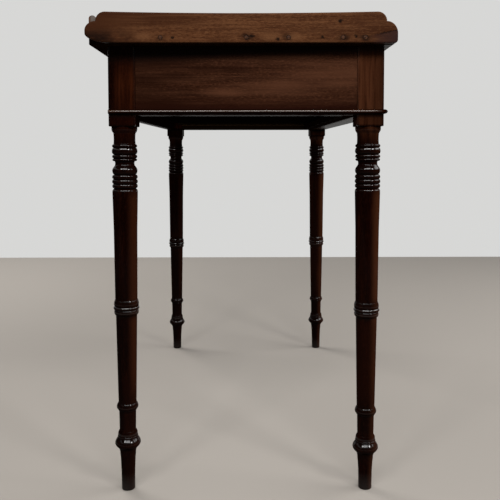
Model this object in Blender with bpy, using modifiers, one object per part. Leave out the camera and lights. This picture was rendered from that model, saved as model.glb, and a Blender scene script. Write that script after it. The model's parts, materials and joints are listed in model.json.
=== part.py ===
"""Writing table with a three-quarter gallery, one frieze drawer and four ring-turned legs.

Metres, +Z up. The length runs along X, the front faces -Y, and the floor is at z = 0.
"""

import math

import bmesh
import bpy
from mathutils import Matrix

# Clearances
GAP = 0.0003  # between pieces that are glued or seated
RUNNING = 0.0008  # round the drawer in its opening

# Frame
LEG_SPAN_X = 0.808  # from leg centre to leg centre, along the table
LEG_SPAN_Y = 0.3985  # from leg centre to leg centre, front to back
POST = 0.0432  # square of a leg above its turning
POST_BOTTOM = 0.6065
RAIL_BOTTOM = 0.6245
FRAME_TOP = 0.734
END_RAIL_T = 0.019
BACK_RAIL_T = 0.018
TOP_RAIL_H = 0.016
TOP_RAIL_D = 0.045
LOWER_RAIL_H = 0.013
LOWER_RAIL_D = 0.060

# Joints of the frame
TENON_L = 0.022
TENON_T = 0.008
TENON_SET = 0.0055  # from the outer face of the post to the tenon
TENON_SHOULDER = 0.012  # of a rail, above and below its tenon
LOWER_TENON_T = 0.007
LOWER_TENON_W = 0.030
ROOT = 0.003  # depth of a tenon's root inside its own piece
KEY_L = 0.020  # dovetail key of the front top rail
KEY_H = 0.012
KEY_NECK = 0.018
KEY_TIP = 0.026

# Top and gallery
TOP_T = 0.019
TOP_FRONT = 0.014  # overhang past the frame
TOP_BACK = 0.0154
TOP_END = 0.0111
TOP_NOSE = 0.0045  # rounding of the front edge
END_BOARD_T = 0.013
END_BOARD_H = 0.0485
END_BOARD_LIFT = 0.0012  # above the underside of the top
END_BOARD_FRONT = 0.0164  # reach past the frame
END_BOARD_BACK = 0.031
LOBE_FRONT = (0.0173, 0.0190)  # length and height of the lower front lobe
LOBE_BACK = (0.0170, 0.0145)
SHOULDER_R = 0.0145  # rounded upper corners
FOOT_R = 0.0055  # lower front corner
SWEEP = (0.047, 0.0150)  # length and rise of the swept lower back corner
HOLLOW = 0.0024  # sag of the upper edge between its corners
BACK_BOARD_T = 0.011
BACK_BOARD_H = 0.0460
BACK_BOARD_R = 0.005  # rounding of its upper edge
BACK_BOARD_FOOT_R = 0.0012  # lower outer corner

# Pegs of the gallery
PEG_D = 0.007
PEG_FACETS = 10
PEG_DEPTH = 0.018  # into the top
PEG_RISE = 0.0095  # above the underside of the top
END_PEGS = (0.051, 0.086, 0.171, 0.237, 0.371)  # from the front end of an end board
BACK_PEGS = 4
BACK_PEG_INSET = 0.060

# Astragal bead round the lower frieze
BEAD_H = 0.0072
BEAD_OUT = 0.0048
BEAD_RISE = 0.0017  # above the lower edge of the rails

# Drawer
DRAWER_FRONT_T = 0.020
DRAWER_SIDE_T = 0.009
DRAWER_BACK_T = 0.008
DRAWER_BOTTOM_T = 0.006
DRAWER_BOTTOM_RISE = 0.0057  # of the bottom board, above the sides' lower edges
GROOVE = 0.004
DRAWER_BACK_ROOM = 0.006  # behind the drawer
SIDE_DROP = 0.0015  # of the sides, below the top of the drawer front
BACK_DROP = 0.012
TAILS = 3
TAIL_NECK = 0.012
TAIL_FLARE = 0.003  # on each flank of a tail
LAP = 0.0075  # of the drawer front over its tails
COCK_T = 0.003
COCK_D = 0.0065
COCK_OUT = 0.0025
TRAVEL_STOP_W = 0.040
TRAVEL_STOP_H = 0.0045
TRAVEL_STOP_D = 0.012
TRAVEL_STOP_INSET = 0.133  # of its middle, from the post

# Knobs
KNOB_INSET = 0.167  # of its middle, from the end of the drawer
KNOB_R = 0.017
KNOB_OUT = 0.026
KNOB_STEM_R = 0.0085
KNOB_ROSE_R = 0.0125
KNOB_SPIGOT_R = 0.006
KNOB_SPIGOT_L = 0.018

# Drawer carcase
RUNNER_W = 0.040
RUNNER_H = 0.012
GUIDE_H = 0.012
KICKER_H = 0.0155
GLUE_BLOCKS = 3
GLUE_BLOCK_L = 0.060
GLUE_BLOCK_W = 0.020

# Turning of the legs
LEG_FACETS = 16
BURIED = 0.004  # of the turning, inside the post
CAPITAL_START_R = 0.0208
# Members under the post, downward: form, height, radius at its extreme, radius where it ends
CAPITAL = (
    ("ovolo", 0.0105, 0.0208, 0.0179),
    ("hollow", 0.0180, 0.0174, 0.0178),
    ("ring", 0.0055, 0.0203, 0.0177),
    ("bulb", 0.0112, 0.0207, 0.0170),
    ("ring", 0.0063, 0.0203, 0.0171),
    ("ring", 0.0047, 0.0200, 0.0162),
    ("hollow", 0.0066, 0.0157, 0.0160),
    ("vase", 0.0150, 0.0204, 0.0170),
    ("ring", 0.0077, 0.0206, 0.0180),
    ("ring", 0.0076, 0.0208, 0.0180),
    ("ring", 0.0074, 0.0206, 0.0175),
    ("swell", 0.0065, 0.0206, 0.0206),
)
SHAFT_WAIST = (0.0192, 0.440)  # radius and height where the shaft's taper changes
SHAFT_R = 0.0182  # where the shaft meets the triple ring
TRIPLE_TOP = 0.3198
TRIPLE = (
    ("lip", 0.0111, 0.0203, 0.0193),
    ("ring", 0.0058, 0.0213, 0.0187),
    ("lip", 0.0088, 0.0202, 0.0174),
)
ANKLE_R = 0.0148  # where the lower shaft meets its ring
ANKLE_TOP = 0.1451
ANKLE = (
    ("lip", 0.0130, 0.0178, 0.0142),
    ("hollow", 0.0336, 0.0137, 0.0134),
    ("swell", 0.0121, 0.0163, 0.0163),
    ("knop", 0.0193, 0.0212, 0.0150),
    ("hollow", 0.0160, 0.0130, 0.0123),
)
TOE_WAIST = (0.0113, 0.030)
TOE_R = 0.0110
TOE_CHAMFER = 0.001
LIP_LEAN = 0.62  # below 1, a lip is widest under its middle
# The turner set the triple ring and the ankle of each leg by eye, a little higher or lower
LEG_RISE = {
    "back_left": (0.0026, 0.0039),
    "front_left": (-0.0019, -0.0053),
    "back_right": (-0.0029, -0.0006),
    "front_right": (0.0021, 0.0038),
}

# Places worked out from the sizes above
FRAME_DEPTH = LEG_SPAN_Y + POST
FRONT_REACH = max(KNOB_OUT, END_BOARD_FRONT, TOP_FRONT)
BACK_REACH = max(END_BOARD_BACK, TOP_BACK + GAP + BACK_BOARD_T)
FRONT_Y = FRONT_REACH - (FRAME_DEPTH + FRONT_REACH + BACK_REACH) / 2
BACK_Y = FRONT_Y + FRAME_DEPTH
POST_OUT_X = (LEG_SPAN_X + POST) / 2
POST_IN_X = (LEG_SPAN_X - POST) / 2
POST_IN_FRONT = FRONT_Y + POST
POST_IN_BACK = BACK_Y - POST
RAIL_TOP = FRAME_TOP - GAP
END_RAIL_IN_X = POST_OUT_X - END_RAIL_T
BACK_RAIL_IN_Y = BACK_Y - BACK_RAIL_T
OPENING_BOTTOM = RAIL_BOTTOM + LOWER_RAIL_H
OPENING_TOP = RAIL_TOP - TOP_RAIL_H
SURFACE = FRAME_TOP + TOP_T
TOP_HALF = POST_OUT_X + TOP_END
TOP_BACK_Y = BACK_Y + TOP_BACK
BOARD_FRONT_Y = FRONT_Y - END_BOARD_FRONT
BOARD_LENGTH = FRAME_DEPTH + END_BOARD_FRONT + END_BOARD_BACK
BOARD_BOTTOM = FRAME_TOP + END_BOARD_LIFT
BEAD_BOTTOM = RAIL_BOTTOM + BEAD_RISE

DRAWER_HALF = POST_IN_X - RUNNING
DRAWER_BOTTOM_Z = OPENING_BOTTOM + RUNNING
DRAWER_TOP_Z = OPENING_TOP - RUNNING
FRONT_INNER_Y = FRONT_Y + DRAWER_FRONT_T
SIDE_BOTTOM_Z = OPENING_BOTTOM + GAP
SIDE_TOP_Z = DRAWER_TOP_Z - SIDE_DROP
DRAWER_END_Y = BACK_RAIL_IN_Y - DRAWER_BACK_ROOM
TAIL_FRONT_Y = FRONT_Y + LAP
PANEL_Z = SIDE_BOTTOM_Z + DRAWER_BOTTOM_RISE
KNOB_Z = (DRAWER_BOTTOM_Z + DRAWER_TOP_Z) / 2

SIDES = ((-1, "left"), (1, "right"))

# Local axes of an outline drawn in a plane: its own x, its own y, and its thickness
ACROSS_X = Matrix(((0, 0, 1), (1, 0, 0), (0, 1, 0))).to_4x4()
ACROSS_Y = Matrix(((1, 0, 0), (0, 0, -1), (0, 1, 0))).to_4x4()


def clear_scene():
    for old in list(bpy.data.objects):
        bpy.data.objects.remove(old, do_unlink=True)


def new_collection(name):
    collection = bpy.data.collections.new(name)
    bpy.context.scene.collection.children.link(collection)
    return collection


def wood(name, colour, roughness):
    material = bpy.data.materials.new(name)
    material.use_nodes = True
    shader = material.node_tree.nodes["Principled BSDF"]
    shader.inputs["Base Color"].default_value = (*colour, 1.0)
    shader.inputs["Roughness"].default_value = roughness
    shader.inputs["Metallic"].default_value = 0.0
    material.diffuse_color = (*colour, 1.0)
    return material


clear_scene()
TABLE = new_collection("writing_table")
CUTTERS = new_collection("cutters")
GALLERY_WOOD = wood("gallery_mahogany", (0.072, 0.030, 0.013), 0.42)
FRIEZE_WOOD = wood("frieze_mahogany", (0.040, 0.013, 0.006), 0.36)
LEG_WOOD = wood("leg_mahogany", (0.018, 0.005, 0.003), 0.28)
CARCASE_WOOD = wood("carcase_pine", (0.240, 0.130, 0.055), 0.62)
LINING_WOOD = wood("drawer_oak", (0.290, 0.180, 0.085), 0.58)


def place(name, mesh, matrix, paint=None):
    """Put a mesh in the scene: as a piece if it has a wood, and otherwise as a cutter."""
    piece = bpy.data.objects.new(name, mesh)
    piece.matrix_world = matrix
    if paint is None:
        CUTTERS.objects.link(piece)
        piece.hide_render = True
        piece.display_type = "WIRE"
    else:
        TABLE.objects.link(piece)
        mesh.materials.append(paint)
    return piece


def block(name, corner, opposite, paint=None):
    """A box between two opposite corners, with its origin in its middle."""
    size = [abs(a - b) for a, b in zip(corner, opposite)]
    middle = [(a + b) / 2 for a, b in zip(corner, opposite)]
    mesh = bpy.data.meshes.new(name)
    form = bmesh.new()
    bmesh.ops.create_cube(form, size=1.0)
    bmesh.ops.scale(form, vec=size, verts=form.verts)
    form.to_mesh(mesh)
    form.free()
    return place(name, mesh, Matrix.Translation(middle), paint)


def rod(name, radius, length, matrix, facets, paint=None):
    """A cylinder along the local Z of its matrix, centred on it."""
    mesh = bpy.data.meshes.new(name)
    form = bmesh.new()
    bmesh.ops.create_cone(
        form, cap_ends=True, segments=facets, radius1=radius, radius2=radius, depth=length
    )
    form.to_mesh(mesh)
    form.free()
    return place(name, mesh, matrix, paint)


def plate(name, outline, thickness, matrix, paint=None):
    """A flat outline, thickened evenly about the plane of its matrix."""
    curve = bpy.data.curves.new(name, "CURVE")
    curve.dimensions = "2D"
    curve.fill_mode = "BOTH"
    curve.extrude = thickness / 2
    spline = curve.splines.new("POLY")
    spline.points.add(len(outline) - 1)
    for point, (u, v) in zip(spline.points, outline):
        point.co = (u, v, 0.0, 1.0)
    spline.use_cyclic_u = True
    drawn = bpy.data.objects.new(name + ".outline", curve)
    CUTTERS.objects.link(drawn)
    graph = bpy.context.evaluated_depsgraph_get()
    mesh = bpy.data.meshes.new_from_object(drawn.evaluated_get(graph))
    mesh.name = name
    bpy.data.objects.remove(drawn)
    bpy.data.curves.remove(curve)
    form = bmesh.new()
    form.from_mesh(mesh)
    bmesh.ops.remove_doubles(form, verts=form.verts, dist=0.000005)
    bmesh.ops.recalc_face_normals(form, faces=form.faces)
    form.to_mesh(mesh)
    form.free()
    mesh.materials.clear()
    return place(name, mesh, matrix, paint)


def mitre(piece, start, end):
    """Slant the two end faces of a plate by what each gives for a point of its outline."""
    for vertex in piece.data.vertices:
        u, v, w = vertex.co
        vertex.co.z = w + (start(u, v) if w < 0 else end(u, v))


def turned(name, profile, facets, matrix, paint=None):
    """A profile of radii and heights, from the top down, turned about the local Z."""
    mesh = bpy.data.meshes.new(name)
    links = [(i, i + 1) for i in range(len(profile) - 1)]
    mesh.from_pydata([(radius, 0.0, height) for radius, height in profile], links, [])
    piece = place(name, mesh, matrix, paint)
    screw = piece.modifiers.new("turning", "SCREW")
    screw.axis = "Z"
    screw.angle = math.tau
    screw.steps = facets
    screw.render_steps = facets
    screw.use_merge_vertices = True
    screw.merge_threshold = 0.00005
    screw.use_smooth_shade = False
    return piece


def combine(piece, tool, operation):
    modifier = piece.modifiers.new(tool.name, "BOOLEAN")
    modifier.operation = operation
    modifier.solver = "EXACT"
    modifier.object = tool


def fuse(piece, tool):
    combine(piece, tool, "UNION")


def cut(piece, tool):
    combine(piece, tool, "DIFFERENCE")


def arc(middle, reach, start, end, steps):
    """Points of an elliptic arc from one angle to another, in quarter turns."""
    points = []
    for i in range(steps + 1):
        angle = (start + (end - start) * i / steps) * math.pi / 2
        points.append((middle[0] + reach[0] * math.cos(angle), middle[1] + reach[1] * math.sin(angle)))
    return points


def tenon(rail, post, corner, opposite):
    """A tenon on a rail and, a clearance wider all round, its mortise in a post."""
    fuse(rail, block(f"{rail.name}.tenon.{post.name}", corner, opposite))
    low = [min(a, b) - GAP for a, b in zip(corner, opposite)]
    high = [max(a, b) + GAP for a, b in zip(corner, opposite)]
    cut(post, block(f"{post.name}.mortise.{rail.name}", low, high))


def drop(form, share):
    """How far down a member, as a share of its height, a point along its profile lies."""
    bowed = (1 - math.cos(share * math.pi)) / 2
    if form == "lip":
        return bowed**LIP_LEAN
    if form in ("ring", "bulb") or (form == "vase" and share > 0.5):
        return bowed
    return share


def member(form, top, height, start, extreme, end):
    """Points of one turned member, after the point where it starts."""
    counts = {"ring": 3, "lip": 4, "bulb": 5, "knop": 6, "vase": 6, "hollow": 3, "ovolo": 3, "swell": 3}
    steps = counts[form]
    points = []
    for i in range(1, steps + 1):
        share = i / steps
        if form == "ovolo":
            angle = max(0.0, (share - 0.4) / 0.6) * math.pi / 2
            radius = end + (extreme - end) * math.cos(angle)
        elif form == "swell":
            angle = min(1.0, share / 0.67) * math.pi / 2
            radius = start + (extreme - start) * math.sin(angle)
        else:
            side = start if share < 0.5 else end
            radius = side + (extreme - side) * math.sin(share * math.pi)
        points.append((radius, top - height * drop(form, share)))
    return points


def members(table, top, start):
    """Points of a run of turned members, one below the other."""
    points = [(start, top)]
    for form, height, extreme, end in table:
        points += member(form, top, height, points[-1][0], extreme, end)
        top -= height
    return points


def leg_profile(rise):
    """Radii and heights of a leg's turning, from inside its post down to the floor."""
    points = [(0.0, POST_BOTTOM + BURIED), (CAPITAL_START_R, POST_BOTTOM + BURIED)]
    points += members(CAPITAL, POST_BOTTOM, CAPITAL_START_R)
    points += [SHAFT_WAIST]
    points += members(TRIPLE, TRIPLE_TOP + rise[0], SHAFT_R)
    points += members(ANKLE, ANKLE_TOP + rise[1], ANKLE_R)
    points += [TOE_WAIST, (TOE_R, TOE_CHAMFER), (TOE_R - TOE_CHAMFER, 0.0), (0.0, 0.0)]
    return points


def make_legs():
    """The four legs, each one piece of wood with a square post over its turning."""
    legs = {}
    for depth, face in ((FRONT_Y + POST / 2, "front"), (BACK_Y - POST / 2, "back")):
        for side, end in SIDES:
            corner = f"{face}_{end}"
            foot = Matrix.Translation((side * LEG_SPAN_X / 2, depth, 0.0))
            leg = turned(f"leg_{corner}", leg_profile(LEG_RISE[corner]), LEG_FACETS, foot, LEG_WOOD)
            low = (side * POST_IN_X, depth - POST / 2, POST_BOTTOM)
            high = (side * POST_OUT_X, depth + POST / 2, RAIL_TOP)
            fuse(leg, block(f"post_{corner}", low, high))
            legs[corner] = leg
    return legs


def make_end_rails(legs):
    for side, end in SIDES:
        outer = side * POST_OUT_X
        low = (outer, POST_IN_FRONT + GAP, RAIL_BOTTOM)
        high = (side * END_RAIL_IN_X, POST_IN_BACK - GAP, RAIL_TOP)
        rail = block(f"end_rail_{end}", low, high, FRIEZE_WOOD)
        near = outer - side * TENON_SET
        far = near - side * TENON_T
        bottom = RAIL_BOTTOM + LOWER_RAIL_H
        top = OPENING_TOP - TENON_SHOULDER
        front = ((near, POST_IN_FRONT - TENON_L, bottom), (far, POST_IN_FRONT + ROOT, top))
        back = ((near, POST_IN_BACK + TENON_L, bottom), (far, POST_IN_BACK - ROOT, top))
        tenon(rail, legs[f"front_{end}"], *front)
        tenon(rail, legs[f"back_{end}"], *back)


def make_back_rail(legs):
    low = (-POST_IN_X + GAP, BACK_Y, RAIL_BOTTOM)
    high = (POST_IN_X - GAP, BACK_RAIL_IN_Y, RAIL_TOP)
    rail = block("back_rail", low, high, FRIEZE_WOOD)
    for side, end in SIDES:
        near = (side * (POST_IN_X - ROOT), BACK_Y - TENON_SET, RAIL_BOTTOM + TENON_SHOULDER)
        far = (side * (POST_IN_X + TENON_L), BACK_Y - TENON_SET - TENON_T, RAIL_TOP - TENON_SHOULDER)
        tenon(rail, legs[f"back_{end}"], near, far)


def make_front_lower_rail(legs):
    low = (-POST_IN_X + GAP, FRONT_Y, RAIL_BOTTOM)
    high = (POST_IN_X - GAP, FRONT_Y + LOWER_RAIL_D, OPENING_BOTTOM)
    rail = block("front_lower_rail", low, high, FRIEZE_WOOD)
    middle_y = FRONT_Y + POST / 2
    middle_z = RAIL_BOTTOM + LOWER_RAIL_H / 2
    for side, end in SIDES:
        near = (side * (POST_IN_X - ROOT), middle_y - LOWER_TENON_W / 2, middle_z - LOWER_TENON_T / 2)
        far = (side * (POST_IN_X + TENON_L), middle_y + LOWER_TENON_W / 2, middle_z + LOWER_TENON_T / 2)
        tenon(rail, legs[f"front_{end}"], near, far)


def dovetail_key(side, clearance):
    """Outline, seen from above, of the key at one end of the front top rail."""
    middle = FRONT_Y + TOP_RAIL_D / 2
    inner = side * (POST_IN_X - ROOT)
    outer = side * (POST_IN_X + KEY_L + clearance)
    neck = KEY_NECK / 2 + clearance
    tip = KEY_TIP / 2 + clearance
    return [(inner, middle - neck), (outer, middle - tip), (outer, middle + tip), (inner, middle + neck)]


def make_front_top_rail(legs):
    low = (-POST_IN_X + GAP, FRONT_Y, OPENING_TOP)
    high = (POST_IN_X - GAP, FRONT_Y + TOP_RAIL_D, RAIL_TOP)
    rail = block("front_top_rail", low, high, FRIEZE_WOOD)
    for side, end in SIDES:
        post = legs[f"front_{end}"]
        seat = Matrix.Translation((0.0, 0.0, RAIL_TOP - KEY_H / 2))
        fuse(rail, plate(f"front_top_rail.key_{end}", dovetail_key(side, 0.0), KEY_H, seat))
        seat = Matrix.Translation((0.0, 0.0, RAIL_TOP))
        cut(post, plate(f"{post.name}.key", dovetail_key(side, GAP), 2 * (KEY_H + GAP), seat))


def make_top():
    """The top board, with its front edge rounded above and below."""
    front = FRONT_Y - TOP_FRONT
    low = FRAME_TOP
    outline = arc((front + TOP_NOSE, SURFACE - TOP_NOSE), (TOP_NOSE, TOP_NOSE), 1, 2, 4)
    outline += arc((front + TOP_NOSE, low + TOP_NOSE), (TOP_NOSE, TOP_NOSE), 2, 3, 4)
    outline += [(TOP_BACK_Y, low), (TOP_BACK_Y, SURFACE)]
    return plate("top_board", outline, 2 * TOP_HALF, ACROSS_X, GALLERY_WOOD)


def end_board_outline():
    """Outline of a gallery end, from its lower front corner, seen with the front at u = 0."""
    high = END_BOARD_H
    lobe_front, lobe_back = LOBE_FRONT, LOBE_BACK
    step = high - SHOULDER_R
    left = lobe_front[0] + SHOULDER_R
    right = BOARD_LENGTH - lobe_back[0] - SHOULDER_R
    corner = (SHOULDER_R, SHOULDER_R)
    outline = arc((FOOT_R, FOOT_R), (FOOT_R, FOOT_R), 3, 2, 3)
    outline += arc((lobe_front[0], step - lobe_front[1]), lobe_front, 2, 1, 5)
    outline += arc((left, step), corner, 2, 1, 5)[1:]
    for i in range(1, 8):
        share = i / 8
        outline.append((left + (right - left) * share, high - HOLLOW * 4 * share * (1 - share)))
    outline += arc((right, step), corner, 1, 0, 5)
    outline += arc((BOARD_LENGTH - lobe_back[0], step - lobe_back[1]), lobe_back, 1, 0, 5)[1:]
    outline += arc((BOARD_LENGTH - SWEEP[0], SWEEP[1]), SWEEP, 0, -1, 6)
    return outline


def make_peg(name, middle, along, length, boards):
    """A round peg through a gallery board into the top, and its hole in both."""
    matrix = Matrix.Translation(middle) @ along
    for board in boards:
        hole = rod(f"{name}.hole.{board.name}", PEG_D / 2 + GAP, length + 2 * GAP, matrix, PEG_FACETS)
        cut(board, hole)
    rod(name, PEG_D / 2, length, matrix, PEG_FACETS, LEG_WOOD)


def make_gallery(top):
    for side, end in SIDES:
        inner = TOP_HALF + GAP
        middle = Matrix.Translation((side * (inner + END_BOARD_T / 2), BOARD_FRONT_Y, BOARD_BOTTOM))
        board = plate(
            f"gallery_end_{end}", end_board_outline(), END_BOARD_T, middle @ ACROSS_X, GALLERY_WOOD
        )
        length = END_BOARD_T + GAP + PEG_DEPTH
        x = side * (inner + END_BOARD_T - length / 2)
        for i, reach in enumerate(END_PEGS):
            middle = (x, BOARD_FRONT_Y + reach, FRAME_TOP + PEG_RISE)
            make_peg(f"gallery_peg_{end}_{i + 1}", middle, ACROSS_X, length, (board, top))

    inner = TOP_BACK_Y + GAP
    outer = inner + BACK_BOARD_T
    r = BACK_BOARD_R
    foot = BACK_BOARD_FOOT_R
    low = FRAME_TOP
    high = FRAME_TOP + BACK_BOARD_H
    outline = [(inner, low)]
    outline += arc((outer - foot, low + foot), (foot, foot), -1, 0, 3)
    outline += arc((outer - r, high - r), (r, r), 0, 1, 4)
    outline += arc((inner + r, high - r), (r, r), 1, 2, 4)
    board = plate("gallery_back", outline, 2 * TOP_HALF, ACROSS_X, GALLERY_WOOD)
    length = BACK_BOARD_T + GAP + PEG_DEPTH
    pitch = 2 * (TOP_HALF - BACK_PEG_INSET) / (BACK_PEGS - 1)
    for i in range(BACK_PEGS):
        middle = (i * pitch - TOP_HALF + BACK_PEG_INSET, outer - length / 2, FRAME_TOP + PEG_RISE)
        make_peg(f"gallery_peg_back_{i + 1}", middle, ACROSS_Y, length, (board, top))


def bead_section():
    """Half-round section: outward from its seat, and up from its lower edge."""
    return arc((GAP, BEAD_H / 2), (BEAD_OUT, BEAD_H / 2), -1, 1, 6)


def make_beads():
    """Astragal bead along the front and both ends, mitred at the front corners."""
    front = Matrix(((0, 0, 1), (-1, 0, 0), (0, 1, 0))).to_4x4()
    seat = Matrix.Translation((0.0, FRONT_Y, BEAD_BOTTOM))
    bead = plate("bead_front", bead_section(), 2 * POST_OUT_X, seat @ front, FRIEZE_WOOD)
    mitre(bead, lambda u, v: GAP - u, lambda u, v: u - GAP)
    for side, end in SIDES:
        run = Matrix(((side, 0, 0), (0, 0, -side), (0, 1, 0))).to_4x4()
        seat = Matrix.Translation((side * POST_OUT_X, (FRONT_Y + BACK_Y) / 2, BEAD_BOTTOM))
        bead = plate(f"bead_{end}", bead_section(), FRAME_DEPTH, seat @ run, FRIEZE_WOOD)
        if side > 0:
            mitre(bead, lambda u, v: 0.0, lambda u, v: u)
        else:
            mitre(bead, lambda u, v: -u, lambda u, v: 0.0)


def make_carcase():
    """What carries and guides the drawer, and what ties the top to the back rail."""
    lower_back = FRONT_Y + LOWER_RAIL_D + GAP
    upper_back = FRONT_Y + TOP_RAIL_D + GAP
    for side, end in SIDES:
        wall = side * (END_RAIL_IN_X - GAP)
        inner = side * (END_RAIL_IN_X - RUNNER_W)
        flush = side * POST_IN_X
        stop = POST_IN_BACK - GAP
        low = OPENING_BOTTOM - RUNNER_H
        block(f"runner_{end}", (wall, lower_back, low), (inner, stop, OPENING_BOTTOM), CARCASE_WOOD)
        front = POST_IN_FRONT + GAP
        low = OPENING_BOTTOM + GAP
        block(f"guide_{end}", (wall, front, low), (flush, stop, low + GUIDE_H), CARCASE_WOOD)
        low = RAIL_TOP - KICKER_H
        block(f"kicker_{end}", (wall, upper_back, low), (inner, stop, RAIL_TOP), CARCASE_WOOD)
        middle = side * (POST_IN_X - TRAVEL_STOP_INSET)
        near = (middle - TRAVEL_STOP_W / 2, FRONT_INNER_Y + GAP, OPENING_BOTTOM + GAP)
        far = (near[0] + TRAVEL_STOP_W, near[1] + TRAVEL_STOP_D, OPENING_BOTTOM + TRAVEL_STOP_H)
        block(f"drawer_stop_{end}", near, far, CARCASE_WOOD)
    pitch = 2 * POST_IN_X / (GLUE_BLOCKS + 1)
    for i in range(GLUE_BLOCKS):
        x = (i - (GLUE_BLOCKS - 1) / 2) * pitch
        back = BACK_RAIL_IN_Y - GAP
        outline = [(back, RAIL_TOP), (back - GLUE_BLOCK_W, RAIL_TOP), (back, RAIL_TOP - GLUE_BLOCK_W)]
        seat = Matrix.Translation((x, 0.0, 0.0)) @ ACROSS_X
        plate(f"glue_block_{i + 1}", outline, GLUE_BLOCK_L, seat, CARCASE_WOOD)


def tail_pitch():
    return (SIDE_TOP_Z - SIDE_BOTTOM_Z) / TAILS


def tail_outline(i, root, tip, before=0.0, beyond=0.0, clearance=0.0):
    """Outline of a tail, in depth and height, with its flanks run on at both ends."""
    middle = SIDE_BOTTOM_Z + (i + 0.5) * tail_pitch()
    way = math.copysign(1.0, tip - root)
    slope = TAIL_FLARE / abs(tip - root)
    start = root - way * before
    end = tip + way * beyond
    neck = TAIL_NECK / 2 + clearance - slope * before
    wide = TAIL_NECK / 2 + clearance + TAIL_FLARE + slope * beyond
    return [(start, middle - neck), (end, middle - wide), (end, middle + wide), (start, middle + neck)]


def side_outline():
    """Outline of a drawer side, with its tails at both ends."""
    back_root = DRAWER_END_Y - DRAWER_BACK_T
    outline = [(FRONT_INNER_Y, SIDE_BOTTOM_Z), (back_root, SIDE_BOTTOM_Z)]
    for i in range(TAILS):
        outline += tail_outline(i, back_root, DRAWER_END_Y)
    outline += [(back_root, SIDE_TOP_Z), (FRONT_INNER_Y, SIDE_TOP_Z)]
    for i in reversed(range(TAILS)):
        outline += reversed(tail_outline(i, FRONT_INNER_Y, TAIL_FRONT_Y))
    return outline


def knob_profile():
    """Radii and heights of a knob, from the crown down to the end of its spigot."""
    r = KNOB_R
    crown = KNOB_OUT - r / 2
    points = [(0.0, KNOB_OUT)]
    points += arc((0.0, crown), (r, r / 2), 1, 0, 5)[1:]
    points += arc((KNOB_STEM_R, crown), (r - KNOB_STEM_R, crown / 2), 0, -1, 3)[1:]
    points += [(KNOB_STEM_R, crown / 4), (KNOB_ROSE_R, GAP + crown / 8), (KNOB_ROSE_R, GAP)]
    points += [(KNOB_SPIGOT_R, GAP), (KNOB_SPIGOT_R, -KNOB_SPIGOT_L), (0.0, -KNOB_SPIGOT_L)]
    return points


def make_drawer():
    """The drawer: dovetailed sides, a grooved bottom, cockbeads and two turned knobs."""
    slide = bpy.data.objects.new("drawer_slide", None)
    slide.location = (0.0, FRONT_Y, KNOB_Z)
    TABLE.objects.link(slide)

    low = (-DRAWER_HALF, FRONT_Y, DRAWER_BOTTOM_Z)
    high = (DRAWER_HALF, FRONT_INNER_Y - GAP, DRAWER_TOP_Z)
    front = block("drawer_front", low, high, FRIEZE_WOOD)
    inner = DRAWER_HALF - DRAWER_SIDE_T
    low = (-DRAWER_HALF, DRAWER_END_Y, PANEL_Z + DRAWER_BOTTOM_T + GAP)
    high = (DRAWER_HALF, DRAWER_END_Y - DRAWER_BACK_T + GAP, SIDE_TOP_Z - BACK_DROP)
    back = block("drawer_back", low, high, LINING_WOOD)
    pieces = [front, back]

    groove_low = PANEL_Z - GAP
    groove_high = PANEL_Z + DRAWER_BOTTOM_T + GAP
    groove_front = FRONT_INNER_Y - GROOVE - GAP
    reach = inner + GROOVE
    near = (-reach + GAP, groove_front + GAP, PANEL_Z)
    far = (reach - GAP, DRAWER_END_Y, PANEL_Z + DRAWER_BOTTOM_T)
    pieces.append(block("drawer_bottom", near, far, LINING_WOOD))
    near = (-reach, groove_front, groove_low)
    far = (reach, FRONT_INNER_Y + ROOT, groove_high)
    cut(front, block("drawer_front.groove", near, far))

    for side, end in SIDES:
        middle = side * (DRAWER_HALF - DRAWER_SIDE_T / 2)
        seat = Matrix.Translation((middle, 0.0, 0.0)) @ ACROSS_X
        wall = plate(f"drawer_side_{end}", side_outline(), DRAWER_SIDE_T, seat, LINING_WOOD)
        near = (side * (inner - ROOT), TAIL_FRONT_Y - ROOT, groove_low)
        far = (side * reach, DRAWER_END_Y + ROOT, groove_high)
        cut(wall, block(f"drawer_side_{end}.groove", near, far))
        pieces.append(wall)
        width = 2 * (DRAWER_SIDE_T + GAP)
        seat = Matrix.Translation((side * DRAWER_HALF, 0.0, 0.0)) @ ACROSS_X
        for i in range(TAILS):
            outline = tail_outline(i, FRONT_INNER_Y, TAIL_FRONT_Y, ROOT, GAP, GAP)
            cut(front, plate(f"socket_{end}_{i}", outline, width, seat))
            outline = tail_outline(i, DRAWER_END_Y - DRAWER_BACK_T, DRAWER_END_Y, ROOT, ROOT, GAP)
            cut(back, plate(f"pin_{end}_{i}", outline, width, seat))
        hub = Matrix.Translation((side * (DRAWER_HALF - KNOB_INSET), FRONT_Y, KNOB_Z)) @ ACROSS_Y
        pieces.append(turned(f"knob_{end}", knob_profile(), LEG_FACETS, hub, LEG_WOOD))
        hole = rod(f"knob_hole_{end}", KNOB_SPIGOT_R + GAP, 4 * DRAWER_FRONT_T, hub, LEG_FACETS)
        cut(front, hole)

    pieces += make_cockbeads(front)
    for piece in pieces:
        piece.parent = slide
        piece.matrix_parent_inverse = Matrix.Translation(slide.location).inverted()


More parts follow.
